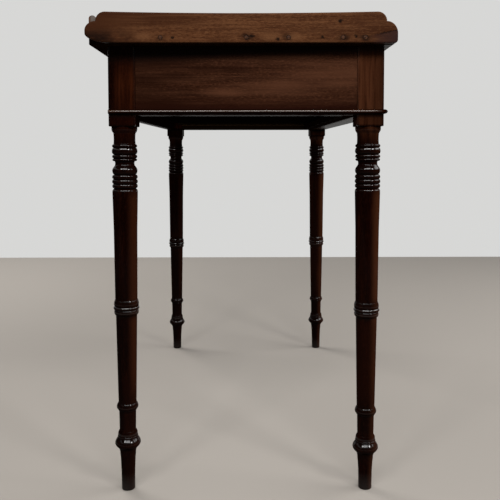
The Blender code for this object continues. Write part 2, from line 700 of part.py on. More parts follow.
def make_cockbeads(front):
    """Round-nosed strips let into the edges of the drawer front, mitred at its corners."""
    r = COCK_T / 2
    nose = FRONT_Y - COCK_OUT
    root = FRONT_Y + COCK_D
    # Outline of a strip: depth from the front, and distance in from the drawer's edge
    outline = [(root, COCK_T), (root, 0.0)]
    outline += arc((nose + r, r), (r, r), 3, 1, 4)
    high = (DRAWER_TOP_Z - DRAWER_BOTTOM_Z) / 2
    strips = []
    sides = (
        ("top", 0, DRAWER_HALF, high),
        ("bottom", 2, DRAWER_HALF, high),
        ("left", 1, high, DRAWER_HALF),
        ("right", 3, high, DRAWER_HALF),
    )
    inward = Matrix(((0, 0, 1), (1, 0, 0), (0, -1, 0))).to_4x4()
    for name, quarter, half, away in sides:
        spin = Matrix.Rotation(-quarter * math.pi / 2, 4, "Y")
        seat = Matrix.Translation((0.0, 0.0, KNOB_Z)) @ spin @ Matrix.Translation((0.0, 0.0, away))
        strip = plate(f"cockbead_{name}", outline, 2 * half, seat @ inward, FRIEZE_WOOD)
        mitre(strip, lambda u, v: v + GAP, lambda u, v: -v - GAP)
        strips.append(strip)
        near = (-half - ROOT, FRONT_Y - ROOT, -COCK_T - GAP)
        far = (half + ROOT, root + GAP, ROOT)
        rebate = block(f"rebate_{name}", near, far)
        rebate.matrix_world = seat @ rebate.matrix_world
        cut(front, rebate)
    return strips


def main():
    legs = make_legs()
    make_end_rails(legs)
    make_back_rail(legs)
    make_front_lower_rail(legs)
    make_front_top_rail(legs)
    make_gallery(make_top())
    make_beads()
    make_carcase()
    make_drawer()


main()
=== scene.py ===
"""Looks of a writing table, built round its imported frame.

Metres, in the frame of the solids: +Z up, the length along X, the front with the drawer at -Y.
"""

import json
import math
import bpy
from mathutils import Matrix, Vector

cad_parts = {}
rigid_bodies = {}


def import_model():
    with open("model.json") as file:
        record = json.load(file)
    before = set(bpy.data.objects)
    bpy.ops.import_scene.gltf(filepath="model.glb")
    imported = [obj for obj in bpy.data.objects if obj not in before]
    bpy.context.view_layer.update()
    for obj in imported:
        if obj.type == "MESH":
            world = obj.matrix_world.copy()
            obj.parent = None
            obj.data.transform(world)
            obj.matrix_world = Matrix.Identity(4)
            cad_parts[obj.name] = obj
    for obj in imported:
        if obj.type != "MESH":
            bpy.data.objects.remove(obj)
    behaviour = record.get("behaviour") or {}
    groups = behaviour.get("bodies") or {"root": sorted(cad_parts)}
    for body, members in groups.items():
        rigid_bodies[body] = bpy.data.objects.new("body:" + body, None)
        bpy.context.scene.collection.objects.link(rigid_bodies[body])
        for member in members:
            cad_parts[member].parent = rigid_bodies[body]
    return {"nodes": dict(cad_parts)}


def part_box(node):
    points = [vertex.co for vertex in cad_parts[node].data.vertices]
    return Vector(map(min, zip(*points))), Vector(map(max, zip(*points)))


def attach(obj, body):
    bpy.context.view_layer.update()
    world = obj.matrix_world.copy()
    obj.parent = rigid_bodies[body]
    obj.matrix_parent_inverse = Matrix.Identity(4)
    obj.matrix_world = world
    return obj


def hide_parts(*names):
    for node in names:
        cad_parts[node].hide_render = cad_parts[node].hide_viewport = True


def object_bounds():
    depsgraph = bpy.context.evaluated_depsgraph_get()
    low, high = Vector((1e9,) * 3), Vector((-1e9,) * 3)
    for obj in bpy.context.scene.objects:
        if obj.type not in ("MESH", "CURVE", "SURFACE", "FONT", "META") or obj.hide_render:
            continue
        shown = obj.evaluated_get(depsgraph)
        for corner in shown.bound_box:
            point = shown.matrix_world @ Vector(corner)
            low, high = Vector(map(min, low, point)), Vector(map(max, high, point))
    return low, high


bl_info = {
    "name": "Writing Table Finish",
    "version": (1, 0, 0),
    "blender": (4, 5, 0),
    "location": "3D View > Sidebar > Writing Table",
    "description": "Turned legs, eased boards, beads and wood finishes for a galleried writing table",
    "category": "Object",
}

import bmesh
import bpy
from mathutils import Matrix, Vector

for old in list(bpy.data.objects):
    bpy.data.objects.remove(old, do_unlink=True)

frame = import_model()
CAD_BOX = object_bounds()

ENDS = {"left": -1, "right": 1}
CORNERS = ("front_left", "front_right", "back_left", "back_right")
END_PEGS = 5
BACK_PEGS = 4
GLUE_BLOCKS = 3
GAP = 0.0003
RAIL_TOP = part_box("end_rail_left")[1].z
BEAD_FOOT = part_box("bead_left")[0].z
RUNNER_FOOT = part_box("runner_left")[0].z
RUNNER_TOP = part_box("runner_left")[1].z
DRAWER_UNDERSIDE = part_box("drawer_bottom")[0].z

# Members of a leg's turning, downward: form, height, radius at its extreme, radius where it ends, burnish
POST_BOTTOM = 0.6065
NECK_BOTTOM = 0.576
CAPITAL_START_R = 0.0208
CAPITAL = (
    ("ovolo", 0.0105, 0.0208, 0.0179, 0.10),
    ("hollow", 0.0180, 0.0174, 0.0178, 0.0),
    ("ring", 0.0055, 0.0203, 0.0177, 0.28),
    ("bulb", 0.0112, 0.0207, 0.0170, 0.60),
    ("ring", 0.0063, 0.0203, 0.0171, 0.40),
    ("ring", 0.0047, 0.0200, 0.0162, 0.45),
    ("hollow", 0.0050, 0.0156, 0.0157, 0.0),
    ("cove", 0.0030, 0.0171, 0.0171, 0.42),
    ("vase", 0.0136, 0.0204, 0.0170, 0.42),
    ("ring", 0.0077, 0.0206, 0.0180, 0.36),
    ("ring", 0.0076, 0.0208, 0.0180, 0.36),
    ("ring", 0.0074, 0.0206, 0.0175, 0.30),
    ("swell", 0.0065, 0.0206, 0.0206, 0.40),
)
CAPITAL_BOTTOM = POST_BOTTOM - sum(member[1] for member in CAPITAL)
SHAFT_WAIST = (0.0192, 0.440)
SHAFT_R = 0.0182
TRIPLE_TOP = 0.3198
TRIPLE_MIDDLE = 0.3070
TRIPLE = (
    ("lip", 0.0111, 0.0203, 0.0193, 0.18),
    ("ring", 0.0058, 0.0213, 0.0187, 1.0),
    ("roll", 0.0088, 0.0201, 0.0173, 0.35),
)
ANKLE_R = 0.0148
ANKLE_TOP = 0.1451
ANKLE = (
    ("lip", 0.0113, 0.0178, 0.0146, 0.13),
    ("ring", 0.0026, 0.0152, 0.0140, 0.20),
    ("hollow", 0.0327, 0.0137, 0.0134, 0.0),
    ("swell", 0.0098, 0.0162, 0.0159, 0.20),
    ("ring", 0.0030, 0.0169, 0.0164, 0.40),
    ("knop", 0.0186, 0.0212, 0.0150, 0.31),
    ("hollow", 0.0160, 0.0130, 0.0123, 0.0),
)
TOE_WAIST = (0.0113, 0.030)
TOE_R = 0.0110
TOE_CHAMFER = 0.001
# How much higher the triple ring and the ankle of each leg were set
LEG_RISE = {
    "back_left": (0.0026, 0.0039),
    "front_left": (-0.0019, -0.0053),
    "back_right": (-0.0029, -0.0006),
    "front_right": (0.0021, 0.0038),
}
# Points along the profile of each kind of member
MEMBER_STEPS = {
    "ovolo": 10, "hollow": 10, "ring": 10, "bulb": 16, "cove": 6,
    "vase": 18, "swell": 9, "lip": 12, "roll": 12, "knop": 16,
}
OVOLO_UPRIGHT = 0.4  # share of an ovolo before it turns in
SWELL_REACH = 0.67  # share of a swell where it stops growing
LIP_LEAN = 0.62
UNRUBBED = 0.04  # burnish left below the crest of a member
SHAFT_FADE = 0.006  # of wear and dirt, along the shaft from its rings
POST_STRIP = 0.003  # of a post's face, above its eased foot

# Outline of a gallery end
LOBE_FRONT = (0.0173, 0.0190)
LOBE_BACK = (0.0170, 0.0145)
SHOULDER_R = 0.0145
FOOT_R = 0.0055
SWEEP = (0.047, 0.0150)
HOLLOW = 0.0024

# Flat strips beside rounded edges
TOP_STRIP = 0.012
BACK_STRIP = 0.006
COCKBEAD_STRIP = 0.001

PEG_FACETS = 20
PEG_CROWN = 0.0005
PEG_CROWN_SHARES = (0.15, 0.4, 0.6, 0.8, 0.93, 1.0)
PEG_COLLAR = 0.002
# The bead's painted highlight is laid brightest where it is worn most
BEAD_CREST = 0.59  # share of the way round a bead, upward, where it is rubbed most
BEAD_CREST_REACH = 0.17

# Shares of a knob's radius, and the middle of its crown: share, how far below its top, how worn, how dark
# with old polish and painted shade
KNOB_STEM = 0.5
KNOB_ROSE = 0.735
KNOB_SPIGOT = 0.353
KNOB_EYE = (
    (0.05, 0.0012, 0.0, 0.1),
    (0.30, 0.0010, 0.0, 0.3),
    (0.36, 0.0012, 0.0, 1.0),
    (0.40, 0.0004, 0.8, 0.0),
)
KNOB_FACETS = 48

# Woods: way of the grain, shade, seed of the figure, place of the pith across the grain, rings to the metre
WOODS = {
    "leg_mahogany_polished": ("Z", "leg", 4.3, (0.30, 0.26), 260.0),
    "top_mahogany_waxed": ("X", "gallery", 2.1, (-0.16, 0.45), 90.0),
    "gallery_end_left_mahogany": ("Y", "gallery", 4.0, (0.20, 0.70), 150.0),
    "gallery_end_right_mahogany": ("Y", "gallery", 6.0, (0.20, 0.70), 150.0),
    "gallery_back_mahogany": ("X", "gallery", 8.4, (0.05, 0.60), 140.0),
    "peg_wood": ("X", "gallery", 1.2, (0.0, 0.74), 900.0),
    "end_rail_mahogany": ("Y", "frieze", 6.7, (-0.34, 0.56), 95.0),
    "long_rail_mahogany": ("X", "frieze", 3.6, (-0.10, 0.55), 130.0),
    "end_bead_mahogany": ("Y", "leg", 9.1, (-0.40, 0.60), 300.0),
    "front_bead_mahogany": ("X", "leg", 9.7, (-0.20, 0.60), 300.0),
    "drawer_front_mahogany": ("X", "frieze", 7.7, (-0.32, 0.50), 70.0),
    "cockbead_mahogany": ("X", "frieze", 2.9, (-0.30, 0.60), 300.0),
    "knob_mahogany": ("Y", "leg", 3.3, (0.10, 0.60), 400.0),
    "drawer_side_oak": ("Y", "oak", 1.4, (0.12, -0.05), 240.0),
    "drawer_bottom_oak": ("X", "oak", 5.2, (0.12, -0.05), 160.0),
    "runner_pine": ("Y", "pine", 2.2, (0.12, -0.05), 180.0),
    "block_pine": ("X", "pine", 6.1, (0.12, -0.05), 180.0),
}
# Glosses: roughness and refractive index
BRIGHT_GLOSS = (0.11, 1.75)
WAX_GLOSS = (0.30, 1.5)
DULL_GLOSS = (0.38, 1.083)

# Where a mask changes over between the two ends of the table, or between its front and back
MIDWAY = (-0.1, 0.1)
# The painted shadow that the top's overhang casts on the frame: from none to full, and its lean down towards
# the back
SHADOW_BAND = (RAIL_TOP - 0.0284, RAIL_TOP - 0.0084)
SHADOW_BAND_LEAN = 0.034

# Smoky and faded patches of an end rail: place along it and height, and radius
FRIEZE_SMOKE = (
    (0.160, 0.682, 0.015),
    (0.110, 0.687, 0.013),
    (0.068, 0.697, 0.013),
    (0.020, 0.697, 0.012),
    (0.140, 0.705, 0.018),
    (0.140, 0.640, 0.018),
)
FRIEZE_PALE = (
    (-0.060, 0.668, 0.026),
    (0.030, 0.661, 0.014),
    (-0.115, 0.689, 0.022),
    (-0.160, 0.692, 0.030),
    (-0.150, 0.675, 0.018),
)
# Old nail holes in a gallery end, and pale scars beside them: place along it and height, and radius
NAIL_HOLES = (
    (0.1121, 0.7434, 0.0034),
    (-0.0124, 0.7455, 0.0040),
    (-0.0513, 0.7409, 0.0034),
    (-0.1214, 0.7443, 0.0032),
    (-0.1744, 0.7449, 0.0036),
    (-0.1493, 0.7695, 0.0036),
)
PALE_SCARS = ((0.158, 0.7450, 0.008), (-0.041, 0.7450, 0.010), (-0.079, 0.7450, 0.008))
PEG_STAIN_R = 0.0090
# A mended split at its front end: from one point to another, along it and up
SPLIT = ((-0.204, 0.748), (-0.2382, 0.7549))

# Lamps: where each stands, and its width and height
LAMPS = {
    "key": ((-2.15, -0.1, 2.25), (1.6, 0.8)),
    "front": ((-2.15, -1.75, 2.2), (0.6, 0.5)),
    "back": ((-2.15, 1.15, 2.25), (0.5, 0.5)),
    "side": ((0.0, -2.5, 1.6), (2.0, 2.0)),
    "fill": ((1.6, 1.7, 2.0), (1.6, 1.6)),
}
# Upright dark cards: where each stands, and its quarter turns about Z; then the level one over them
FLAGS = {"behind": ((-2.7, 0.0, 0.75), 0), "left": ((-0.6, 2.6, 0.75), 1), "right": ((-0.6, -2.6, 0.75), 1)}
FLAG_REACH = (0.8, 2.6)
COVER_PLACE = (-0.6, 0.0, 3.2)
COVER_REACH = (4.0, 4.0)
SENSOR = 36.0
CLIP = (0.05, 50.0)


def length(name, description, default):
    return bpy.props.FloatProperty(
        name=name, description=description, default=default, min=0.0, precision=5, unit="LENGTH"
    )


def tone(name, description, default):
    return bpy.props.FloatVectorProperty(
        name=name, description=description, default=default, size=3, min=0.0, max=1.0, subtype="COLOR"
    )


def watts(name, description, default):
    return bpy.props.FloatProperty(name=name, description=description, default=default, min=0.0, unit="POWER")


def turn(name, description, degrees):
    return bpy.props.FloatProperty(
        name=name, description=description, default=math.radians(degrees), subtype="ANGLE", unit="ROTATION"
    )


class TableSizes(bpy.types.PropertyGroup):
    """Sizes of the finish: how round the arrises are worn, and how fine the turning is."""

    leg_facets: bpy.props.IntProperty(
        name="Leg facets", description="Facets round a turned leg", default=64, min=16
    )
    post_ease: length("Post ease", "Rounding of a leg post's arrises", 0.0012)
    board_ease: length("Board ease", "Rounding of a gallery end's arrises", 0.0022)
    rail_ease: length("Rail ease", "Rounding of the rails' arrises", 0.0005)
    top_nose: length("Top nose", "Rounding of the front edge of the top", 0.0045)
    back_nose: length("Back nose", "Rounding of the gallery back's upper edge", 0.005)
    back_foot: length("Back foot", "Rounding of the gallery back's lower corner", 0.0012)
    wear_reach: length("Wear reach", "Width of the worn band along an arris", 0.0013)


class TableTones(bpy.types.PropertyGroup):
    """Colours of the woods, and of the painted light and shade laid on them."""

    gallery_dark: tone("Gallery dark", "Dark grain of the gallery and top", (0.034, 0.0104, 0.0036))
    gallery_mid: tone("Gallery middle", "Ground of the gallery and top", (0.083, 0.0306, 0.0114))
    gallery_light: tone("Gallery light", "Faded wood of the gallery and top", (0.113, 0.0470, 0.0190))
    frieze_dark: tone("Frieze dark", "Dark grain of the frieze", (0.011, 0.0031, 0.0013))
    frieze_mid: tone("Frieze middle", "Ground of the frieze", (0.033, 0.0104, 0.0044))
    frieze_foot: tone("Frieze foot", "Red-brown old polish along the bead", (0.0105, 0.0022, 0.0010))
    frieze_light: tone("Frieze light", "Faded wood of the frieze", (0.069, 0.0262, 0.0128))
    leg_dark: tone("Leg dark", "Dark grain of the legs", (0.0022, 0.0005, 0.0003))
    leg_mid: tone("Leg middle", "Ground of the legs", (0.0048, 0.0008, 0.0004))
    leg_light: tone("Leg light", "Faded wood of the legs", (0.024, 0.0058, 0.0022))
    # Painted light: the colour of the lit side of the legs, on the faces that look to the front
    leg_side_light: tone("Leg faded", "Wood of the legs faded by light, at the front", (0.030, 0.0085, 0.0032))
    post_back: tone("Back post", "Redder wood at the heads of the back legs", (0.030, 0.0068, 0.0022))
    # Lighter at the heads of the front legs, and also part of the painted light on the legs' lit faces
    post_front: tone("Front post", "Faded wood at the heads of the front legs", (0.052, 0.0180, 0.0078))
    # Real dirt in holes, cracks and stains, and also the colour of painted shade under the top, under the
    # bead, inside the rails and in grooves
    dirt_and_shade: tone("Dirt", "Old polish and dirt in grooves and holes", (0.0030, 0.0014, 0.0010))
    # Also the colour of the painted highlight along a bead's crest
    rubbed: tone("Rubbed", "Wood laid bare along worn arrises", (0.105, 0.0520, 0.0250))
    mended: tone("Mended", "Greyer wood below the mended split", (0.024, 0.0110, 0.0096))
    peg: tone("Peg", "End grain of the pegs", (0.046, 0.0180, 0.0080))
    # Painted highlight: the pale grey laid on the upper end grain of the gallery back
    end_highlight: tone("Bare end", "Bleached end grain of the gallery back", (0.120, 0.1000, 0.0870))
    # Painted shade on what looks to the floor and on what lies below the drawer
    underside_shade: tone("Underside", "Wood that faces the floor, dark with age", (0.0009, 0.0006, 0.0005))
    pine_dark: tone("Pine dark", "Dark grain of the carcase", (0.150, 0.0720, 0.0280))
    pine_light: tone("Pine light", "Ground of the carcase", (0.300, 0.1700, 0.0780))
    oak_dark: tone("Oak dark", "Dark grain of the drawer lining", (0.160, 0.0900, 0.0400))
    oak_light: tone("Oak light", "Ground of the drawer lining", (0.330, 0.2120, 0.1060))


class TableStage(bpy.types.PropertyGroup):
    """Floor, backdrop, lamps and camera."""

    floor: tone("Floor", "Colour of the plain floor", (0.306, 0.278, 0.248))
    backdrop: tone("Backdrop", "Colour behind the table", (0.68, 0.68, 0.67))
    flag: tone("Flag", "Colour of the dark cards that reflections meet", (0.02, 0.02, 0.02))
    floor_reach: length("Floor reach", "From the middle of the floor to its edges", 2.03)
    ambient: bpy.props.FloatProperty(
        name="Ambient", description="Strength of the even light from all round", default=0.24, min=0.0
    )
    key_power: watts("Key power", "Of the broad lamp high behind the camera", 42.0)
    front_power: watts("Front power", "Of the small lamp beside it, towards the front", 32.0)
    back_power: watts("Back power", "Of the small lamp beside it, towards the back", 18.0)
    side_power: watts("Side power", "Of the large lamp at the front of the table", 52.0)
    fill_power: watts("Fill power", "Of the large lamp behind the far end", 60.0)
    camera_place: bpy.props.FloatVectorProperty(
        name="Camera place",
        description="Where the camera stands",
        default=(-1.512743, -0.002306, 0.569718),
        size=3,
        precision=6,
        subtype="TRANSLATION",
        unit="LENGTH",
    )
    camera_yaw: turn("Camera yaw", "From looking straight along the table", -0.3171)
    camera_pitch: turn("Camera pitch", "Below the horizon", 3.2849)
    camera_roll: turn("Camera roll", "Clockwise", 0.0670)
    lens: bpy.props.FloatProperty(
        name="Lens", description="Focal length", default=48.614, min=1.0, subtype="DISTANCE_CAMERA"
    )
    shift: bpy.props.FloatProperty(
        name="Shift", description="Rise of the lens, as a share of the picture", default=-0.124
    )


class Flow:
    """A value on its way through a material; arithmetic on it adds the nodes that it needs."""

    def __init__(self, tree, socket=None):
        self.tree = tree
        self.socket = socket

    def add(self, kind, settings=None, sockets=None, output=0):
        """Add a node: its type, then its settings, then values or links for its sockets."""
        node = self.tree.nodes.new(kind)
        for name, value in (settings or {}).items():
            setattr(node, name, value)
        for name, value in (sockets or {}).items():
            if isinstance(value, Flow):
                self.tree.links.new(value.socket, node.inputs[name])
            else:
                node.inputs[name].default_value = value
        return Flow(self.tree, node.outputs[output])

    def other(self, output):
        """Another output of the same node."""
        return Flow(self.tree, self.socket.node.outputs[output])

    def calc(self, operation, *values):
        return self.add("ShaderNodeMath", {"operation": operation}, dict(enumerate(values)))

    def __add__(self, value):
        return self.calc("ADD", self, value)

    __radd__ = __add__

    def __sub__(self, value):
        return self.calc("SUBTRACT", self, value)

    def __rsub__(self, value):
        return self.calc("SUBTRACT", value, self)

    def __mul__(self, value):
        return self.calc("MULTIPLY", self, value)

    __rmul__ = __mul__

    def __pow__(self, value):
        return self.calc("POWER", self, value)

    def __abs__(self):
        return self.calc("ABSOLUTE", self)

    def most(self, value):
        """This or another value, whichever is greater."""
        return self.calc("MAXIMUM", self, value)

    def clip(self, low, high):
        """A soft step from 0 at one value to 1 at another."""
        settings = {"interpolation_type": "SMOOTHSTEP"}
        return self.add("ShaderNodeMapRange", settings, {"Value": self, "From Min": low, "From Max": high})

    def fall(self, low, high):
        """A soft step from 1 at one value to 0 at another."""
        return 1 - self.clip(low, high)

    def blend(self, first, second):
        """One colour turning into another as this goes from 0 to 1."""
        colours = [(*c, 1.0) if not isinstance(c, Flow) else c for c in (first, second)]
        sockets = {0: self, 6: colours[0], 7: colours[1]}
        return self.add("ShaderNodeMix", {"data_type": "RGBA"}, sockets, 2)


class WoodFinish:
    """A wood material, laid on in steps: its figure, then wear, old polish and painted light and shade, then
    the polish.
    """

    def __init__(self, name, tones):
        grain, self.kind, self.seed, self.pith, self.rings = WOODS[name]
        self.material = bpy.data.materials.new(name)
        self.material.use_nodes = True
        self.tree = self.material.node_tree
        self.tones = tones
        place = Flow(self.tree).add("ShaderNodeTexCoord", output="Object")
        self.x = place.add("ShaderNodeSeparateXYZ", sockets={0: place})
        self.y = self.x.other(1)
        self.z = self.x.other(2)
        ways = {
            "X": (self.x, self.y, self.z),
            "Y": (self.y, self.x, self.z),
            "Z": (self.z, self.x, self.y),
        }
        self.along, self.across, self.rise = ways[grain]
        self.colour = None
        self.rough = None
        self.height = None

    def noise(self, along, across, detail=2.0, roughness=0.5):
        """Noise drawn out along the grain: cells to the metre along it and across it."""
        a = self.along * along + self.seed * 3.1
        b = self.across * across + self.seed * 1.7
        c = self.rise * across + self.seed
        return self.pattern((a, b, c), detail, roughness)

    def pattern(self, place, detail, roughness):
        """Noise at a place of three values."""
        place = place[0].add("ShaderNodeCombineXYZ", sockets=dict(enumerate(place)))
        sockets = {"Vector": place, "Scale": 1.0, "Detail": detail, "Roughness": roughness}
        return place.add("ShaderNodeTexNoise", {"noise_dimensions": "3D"}, sockets)

    def attribute(self, name):
        return Flow(self.tree).add("ShaderNodeAttribute", {"attribute_name": name}, output="Fac")

    def facing(self, axis):
        """How far a face looks down one of the table's axes: -1 against it, 1 along it."""
        normal = Flow(self.tree).add("ShaderNodeNewGeometry", output="Normal")
        return normal.add("ShaderNodeSeparateXYZ", sockets={0: normal}, output=axis)

    def looking_along(self, axis):
        return self.facing(axis).clip(0.4, 0.9)

    def looking_against(self, axis):
        return self.facing(axis).fall(-0.9, -0.4)

    def end_grain(self):
        """A mask of the two ends of a board along X."""
        return abs(self.facing("X")).clip(0.5, 0.9)

    def painted_overhang_shadow(self):
        """A mask of the painted shadow that the top's overhang casts on the frame."""
        return (self.z + self.y * SHADOW_BAND_LEAN).clip(*SHADOW_BAND)

    def shade(self, colour, *masks):
        """Lay a colour on as each mask says, one after the other."""
        for mask in masks:
            self.colour = mask.blend(self.colour, colour)

    def figure(self, dark, middle, light):
        """Growth bands round a pith line, ribbon streaks and fine fibres, over broad smoky patches."""
        wander = (self.noise(2.6, 9.0, 2.0) - 0.5) * 0.045
        across, rise = self.across - self.pith[0], self.rise - self.pith[1]
        ring = (across**2 + rise**2) ** 0.5 + wander
        bands = self.pattern((ring * self.rings, self.along * 1.6, self.seed), 3.0, 0.6)
        ribbon = self.noise(5.0, 110.0, 3.0, 0.6)
        fibres = self.noise(22.0, 700.0, 3.0, 0.65)
        figure = bands * 0.32 + ribbon * 0.38 + fibres * 0.30
        smoke = self.noise(4.5, 22.0, 4.0, 0.6)
        self.colour = figure.clip(0.34, 0.62).blend(dark, middle)
        self.shade(light, smoke.clip(0.46, 0.70) * figure.clip(0.40, 0.66))
        self.shade(dark, smoke.fall(0.28, 0.46) * 0.7)
        self.height = fibres * 0.5
        self.rough = (ribbon - 0.5) * 0.12 + (0.5 - smoke) * 0.10

    def flecks(self, dark, light, amount):
        """Short flecks of cut grain, darker and paler than the ground."""
        fleck = self.noise(170.0, 640.0, 2.0, 0.6)
        self.shade(dark, fleck.fall(0.36, 0.50) * amount)
        self.shade(light, fleck.clip(0.50, 0.66) * amount)

    def pores(self, dark, amount):
        """Short open pores along the grain."""
        pores = self.noise(150.0, 1500.0, 1.0).clip(0.62, 0.74) * amount
        self.shade(dark, pores)
        self.height = self.height - pores * 0.8

    def wear_grime_and_shade(self, rubbed, wear):
        """Wear on arrises and crests, and old polish with painted shade in grooves and crevices, where the
        piece says they are.
        """
        patchy = self.noise(22.0, 60.0, 2.0).clip(0.30, 0.72)
        worn = self.attribute("rubbed") * patchy * wear
        grimy_and_shaded = self.attribute("grime") * 0.9
        self.shade(rubbed, worn)
        self.shade(self.tones.dirt_and_shade, grimy_and_shaded)
        self.rough = self.rough + grimy_and_shaded * 0.25 + worn * 0.06

    def burnish(self, amount):
        """The gloss that hands and cloths gave to what stands proud."""
        return (self.attribute("rubbed") * 0.98 + 0.02) * amount

    def polish(self, roughness, bump, specular=0.0, gloss=None, kind=BRIGHT_GLOSS):
        """Close the material: a polish of that roughness over the figure, with a gloss over it in places."""
        shader = self.tree.nodes["Principled BSDF"]
        shader.inputs["Specular IOR Level"].default_value = specular
        if gloss:
            shader.inputs["Coat Roughness"].default_value, shader.inputs["Coat IOR"].default_value = kind
            self.tree.links.new(gloss.socket, shader.inputs["Coat Weight"])
        height = {"Height": self.height, "Strength": bump, "Distance": 0.0004}
        relief = self.height.add("ShaderNodeBump", sockets=height)
        rough = self.rough + roughness
        for name, flow in (("Base Color", self.colour), ("Roughness", rough), ("Normal", relief)):
            self.tree.links.new(flow.socket, shader.inputs[name])
        return self.material


def mahogany(name, tones):
    """Polished mahogany in one of the table's three shades, up to its wear and the painted shade in its
    grooves.
    """
    wood = WoodFinish(name, tones)
    dark, middle, light = [getattr(tones, f"{wood.kind}_{shade}") for shade in ("dark", "mid", "light")]
    wood.figure(dark, middle, light)
    wood.pores(tones.dirt_and_shade, 0.45)
    if wood.kind == "leg":
        wood.wear_grime_and_shade(tones.frieze_light, 0.05)
    else:
        wood.flecks(dark, light, 0.6)
        wood.wear_grime_and_shade(tones.rubbed if wood.kind == "gallery" else tones.frieze_light, 0.5)
    return wood


def plain_wood(name, tones):
    """Bare wood inside the table, with painted shade on what looks to the floor and on what lies below the
    drawer, a painted highlight along the runners' upper arris, and some polish on the near runner's foot.
    """
    wood = WoodFinish(name, tones)
    dark, light = [getattr(tones, f"{wood.kind}_{shade}") for shade in ("dark", "light")]
    wood.figure(dark, light, light)
    wood.pores(dark, 0.5)
    wood.shade(dark, wood.noise(4.0, 8.0, 3.0).clip(0.48, 0.80) * 0.45)
    # Painted shade on what looks to the floor and on all that lies below the drawer
    to_floor = wood.looking_against("Z")
    below_drawer = wood.z.fall(DRAWER_UNDERSIDE, DRAWER_UNDERSIDE + 0.0012)
    wood.shade(tones.underside_shade, to_floor * 0.95, below_drawer * 0.95)
    # Painted highlight: a paler line along the runners' upper arris
    runner_arris = wood.z.clip(RUNNER_TOP - 0.0014, RUNNER_TOP - 0.0010)
    runner_arris = runner_arris * wood.z.fall(RUNNER_TOP + 0.0001, RUNNER_TOP + 0.0003)
    wood.shade(light, runner_arris * 0.3)
    runner_foot = to_floor * wood.z.fall(RUNNER_FOOT + 0.0010, RUNNER_FOOT + 0.0045) * wood.x.fall(*MIDWAY)
    return wood.polish(0.66, 0.25, gloss=runner_foot * 0.6, kind=DULL_GLOSS)


def leg_finish(tones):
    """Dark polished mahogany with painted light on the faces that look to the front, redder and streaky at
    its head, and painted shade under the top and the bead.
    """
    wood = mahogany("leg_mahogany_polished", tones)
    front = wood.y.fall(*MIDWAY)
    far = wood.x.clip(*MIDWAY)
    head = wood.z.clip(NECK_BOTTOM, POST_BOTTOM + 0.012)
    outer_edge = abs(wood.y).clip(0.196, 0.214)
    from_triple = wood.z - TRIPLE_MIDDLE
    upper_shaft = from_triple.clip(-0.030, -0.012)
    shaft = wood.z.clip(ANKLE_TOP - 0.010, ANKLE_TOP + 0.020)
    shaft = shaft * wood.z.fall(CAPITAL_BOTTOM - 0.012, CAPITAL_BOTTOM)

    # Painted light: the faces of each leg that look to the front are made lighter, most on the front legs and
    # least on the far back leg
    below_capital = 1 - wood.z.clip(CAPITAL_BOTTOM - 0.012, CAPITAL_BOTTOM + 0.012) * 0.85
    least = 0.25 + front * 0.22
    over_ankle = wood.z.clip(ANKLE_TOP - 0.010, ANKLE_TOP + 0.060) * (1 - least) + least
    beside_triple = abs(from_triple).clip(0.010, 0.020) * 0.6 + 0.4
    to_front = wood.facing("Y") - front * 0.13
    painted_side_light = to_front.fall(-0.95, -0.15) * below_capital * over_ankle * beside_triple
    painted_side_light = painted_side_light * (1 - shaft * (1 - upper_shaft) * front * 0.45) * (1 - far * (1 - front) * 0.6)
    wood.shade(tones.leg_dark, (1 - front) * 0.5)
    wood.shade(tones.leg_light, shaft * (1 - upper_shaft * (1 - far)) * front * 0.17)
    # Painted light on the lit faces of the legs
    wood.shade(tones.leg_side_light, painted_side_light * 0.8)
    wood.shade(tones.post_front, painted_side_light * front * 0.35)

    streaks = wood.noise(7.0, 140.0, 3.0, 0.6).clip(0.34, 0.64)
    wood.shade(tones.post_back, head * (streaks * 0.80 + 0.28 - front * 0.15))
    wood.shade(tones.post_front, head * front * (streaks * 0.7 + 0.2))
    # Painted shade: the heads of the back legs stay dark further below the top
    post_top = wood.z.clip(RAIL_TOP - 0.065, RAIL_TOP - 0.025) * (1 - front)
    wood.shade(tones.leg_dark, head * outer_edge * (0.95 - front * 0.60), post_top * 0.6)
    # Painted shade under the bead: darker on the posts below it, darkest in a band just under it, and a dark
    # line along each post's eased foot
    below_bead = wood.z.fall(BEAD_FOOT - 0.002, BEAD_FOOT + 0.004) * head
    wood.shade(tones.leg_mid, below_bead * (0.85 - front * 0.35))
    bead_shadow = wood.z.clip(BEAD_FOOT - 0.0075, BEAD_FOOT - 0.0035)
    wood.shade(tones.dirt_and_shade, bead_shadow * wood.z.fall(BEAD_FOOT, BEAD_FOOT + 0.003) * 0.8)
    post_foot = wood.z.fall(POST_BOTTOM + 0.001, POST_BOTTOM + 0.004)
    wood.shade(tones.leg_dark, post_foot * wood.z.clip(POST_BOTTOM - 0.002, POST_BOTTOM) * 0.8)
    # Painted shadow of the top's overhang
    wood.shade(tones.dirt_and_shade, wood.painted_overhang_shadow() * 0.95)
    wood.flecks(tones.leg_dark, tones.leg_light, 0.18)
    return wood.polish(0.30, 0.14, gloss=wood.burnish(1.0))


def top_finish(tones):
    """Mahogany of the top, waxed above and along its front, with painted shade on its ends and its underside.
    """
    wood = mahogany("top_mahogany_waxed", tones)
    # Painted shade on the end grain, which lies under the gallery ends, and on the underside
    wood.shade(tones.dirt_and_shade, wood.end_grain() * 0.9)
    wood.shade(tones.underside_shade, wood.looking_against("Z") * 0.9)
    above = wood.facing("Z").clip(0.3, 0.9)
    front = wood.y.fall(-0.235, -0.190)
    return wood.polish(0.42, 0.22, gloss=(above * 0.30).most(front * 0.30), kind=WAX_GLOSS)


def marks(across, up, places, inner, stretch):
    """A mask that is 1 in marks: place across and up, and radius; they are stretched across."""
    mask = None
    for middle, height, radius in places:
        away = (((across - middle) * (1 / stretch)) ** 2 + (up - height) ** 2) ** 0.5
        mark = away.fall(radius * inner, radius)
        mask = mask.most(mark) if mask else mark
    return mask


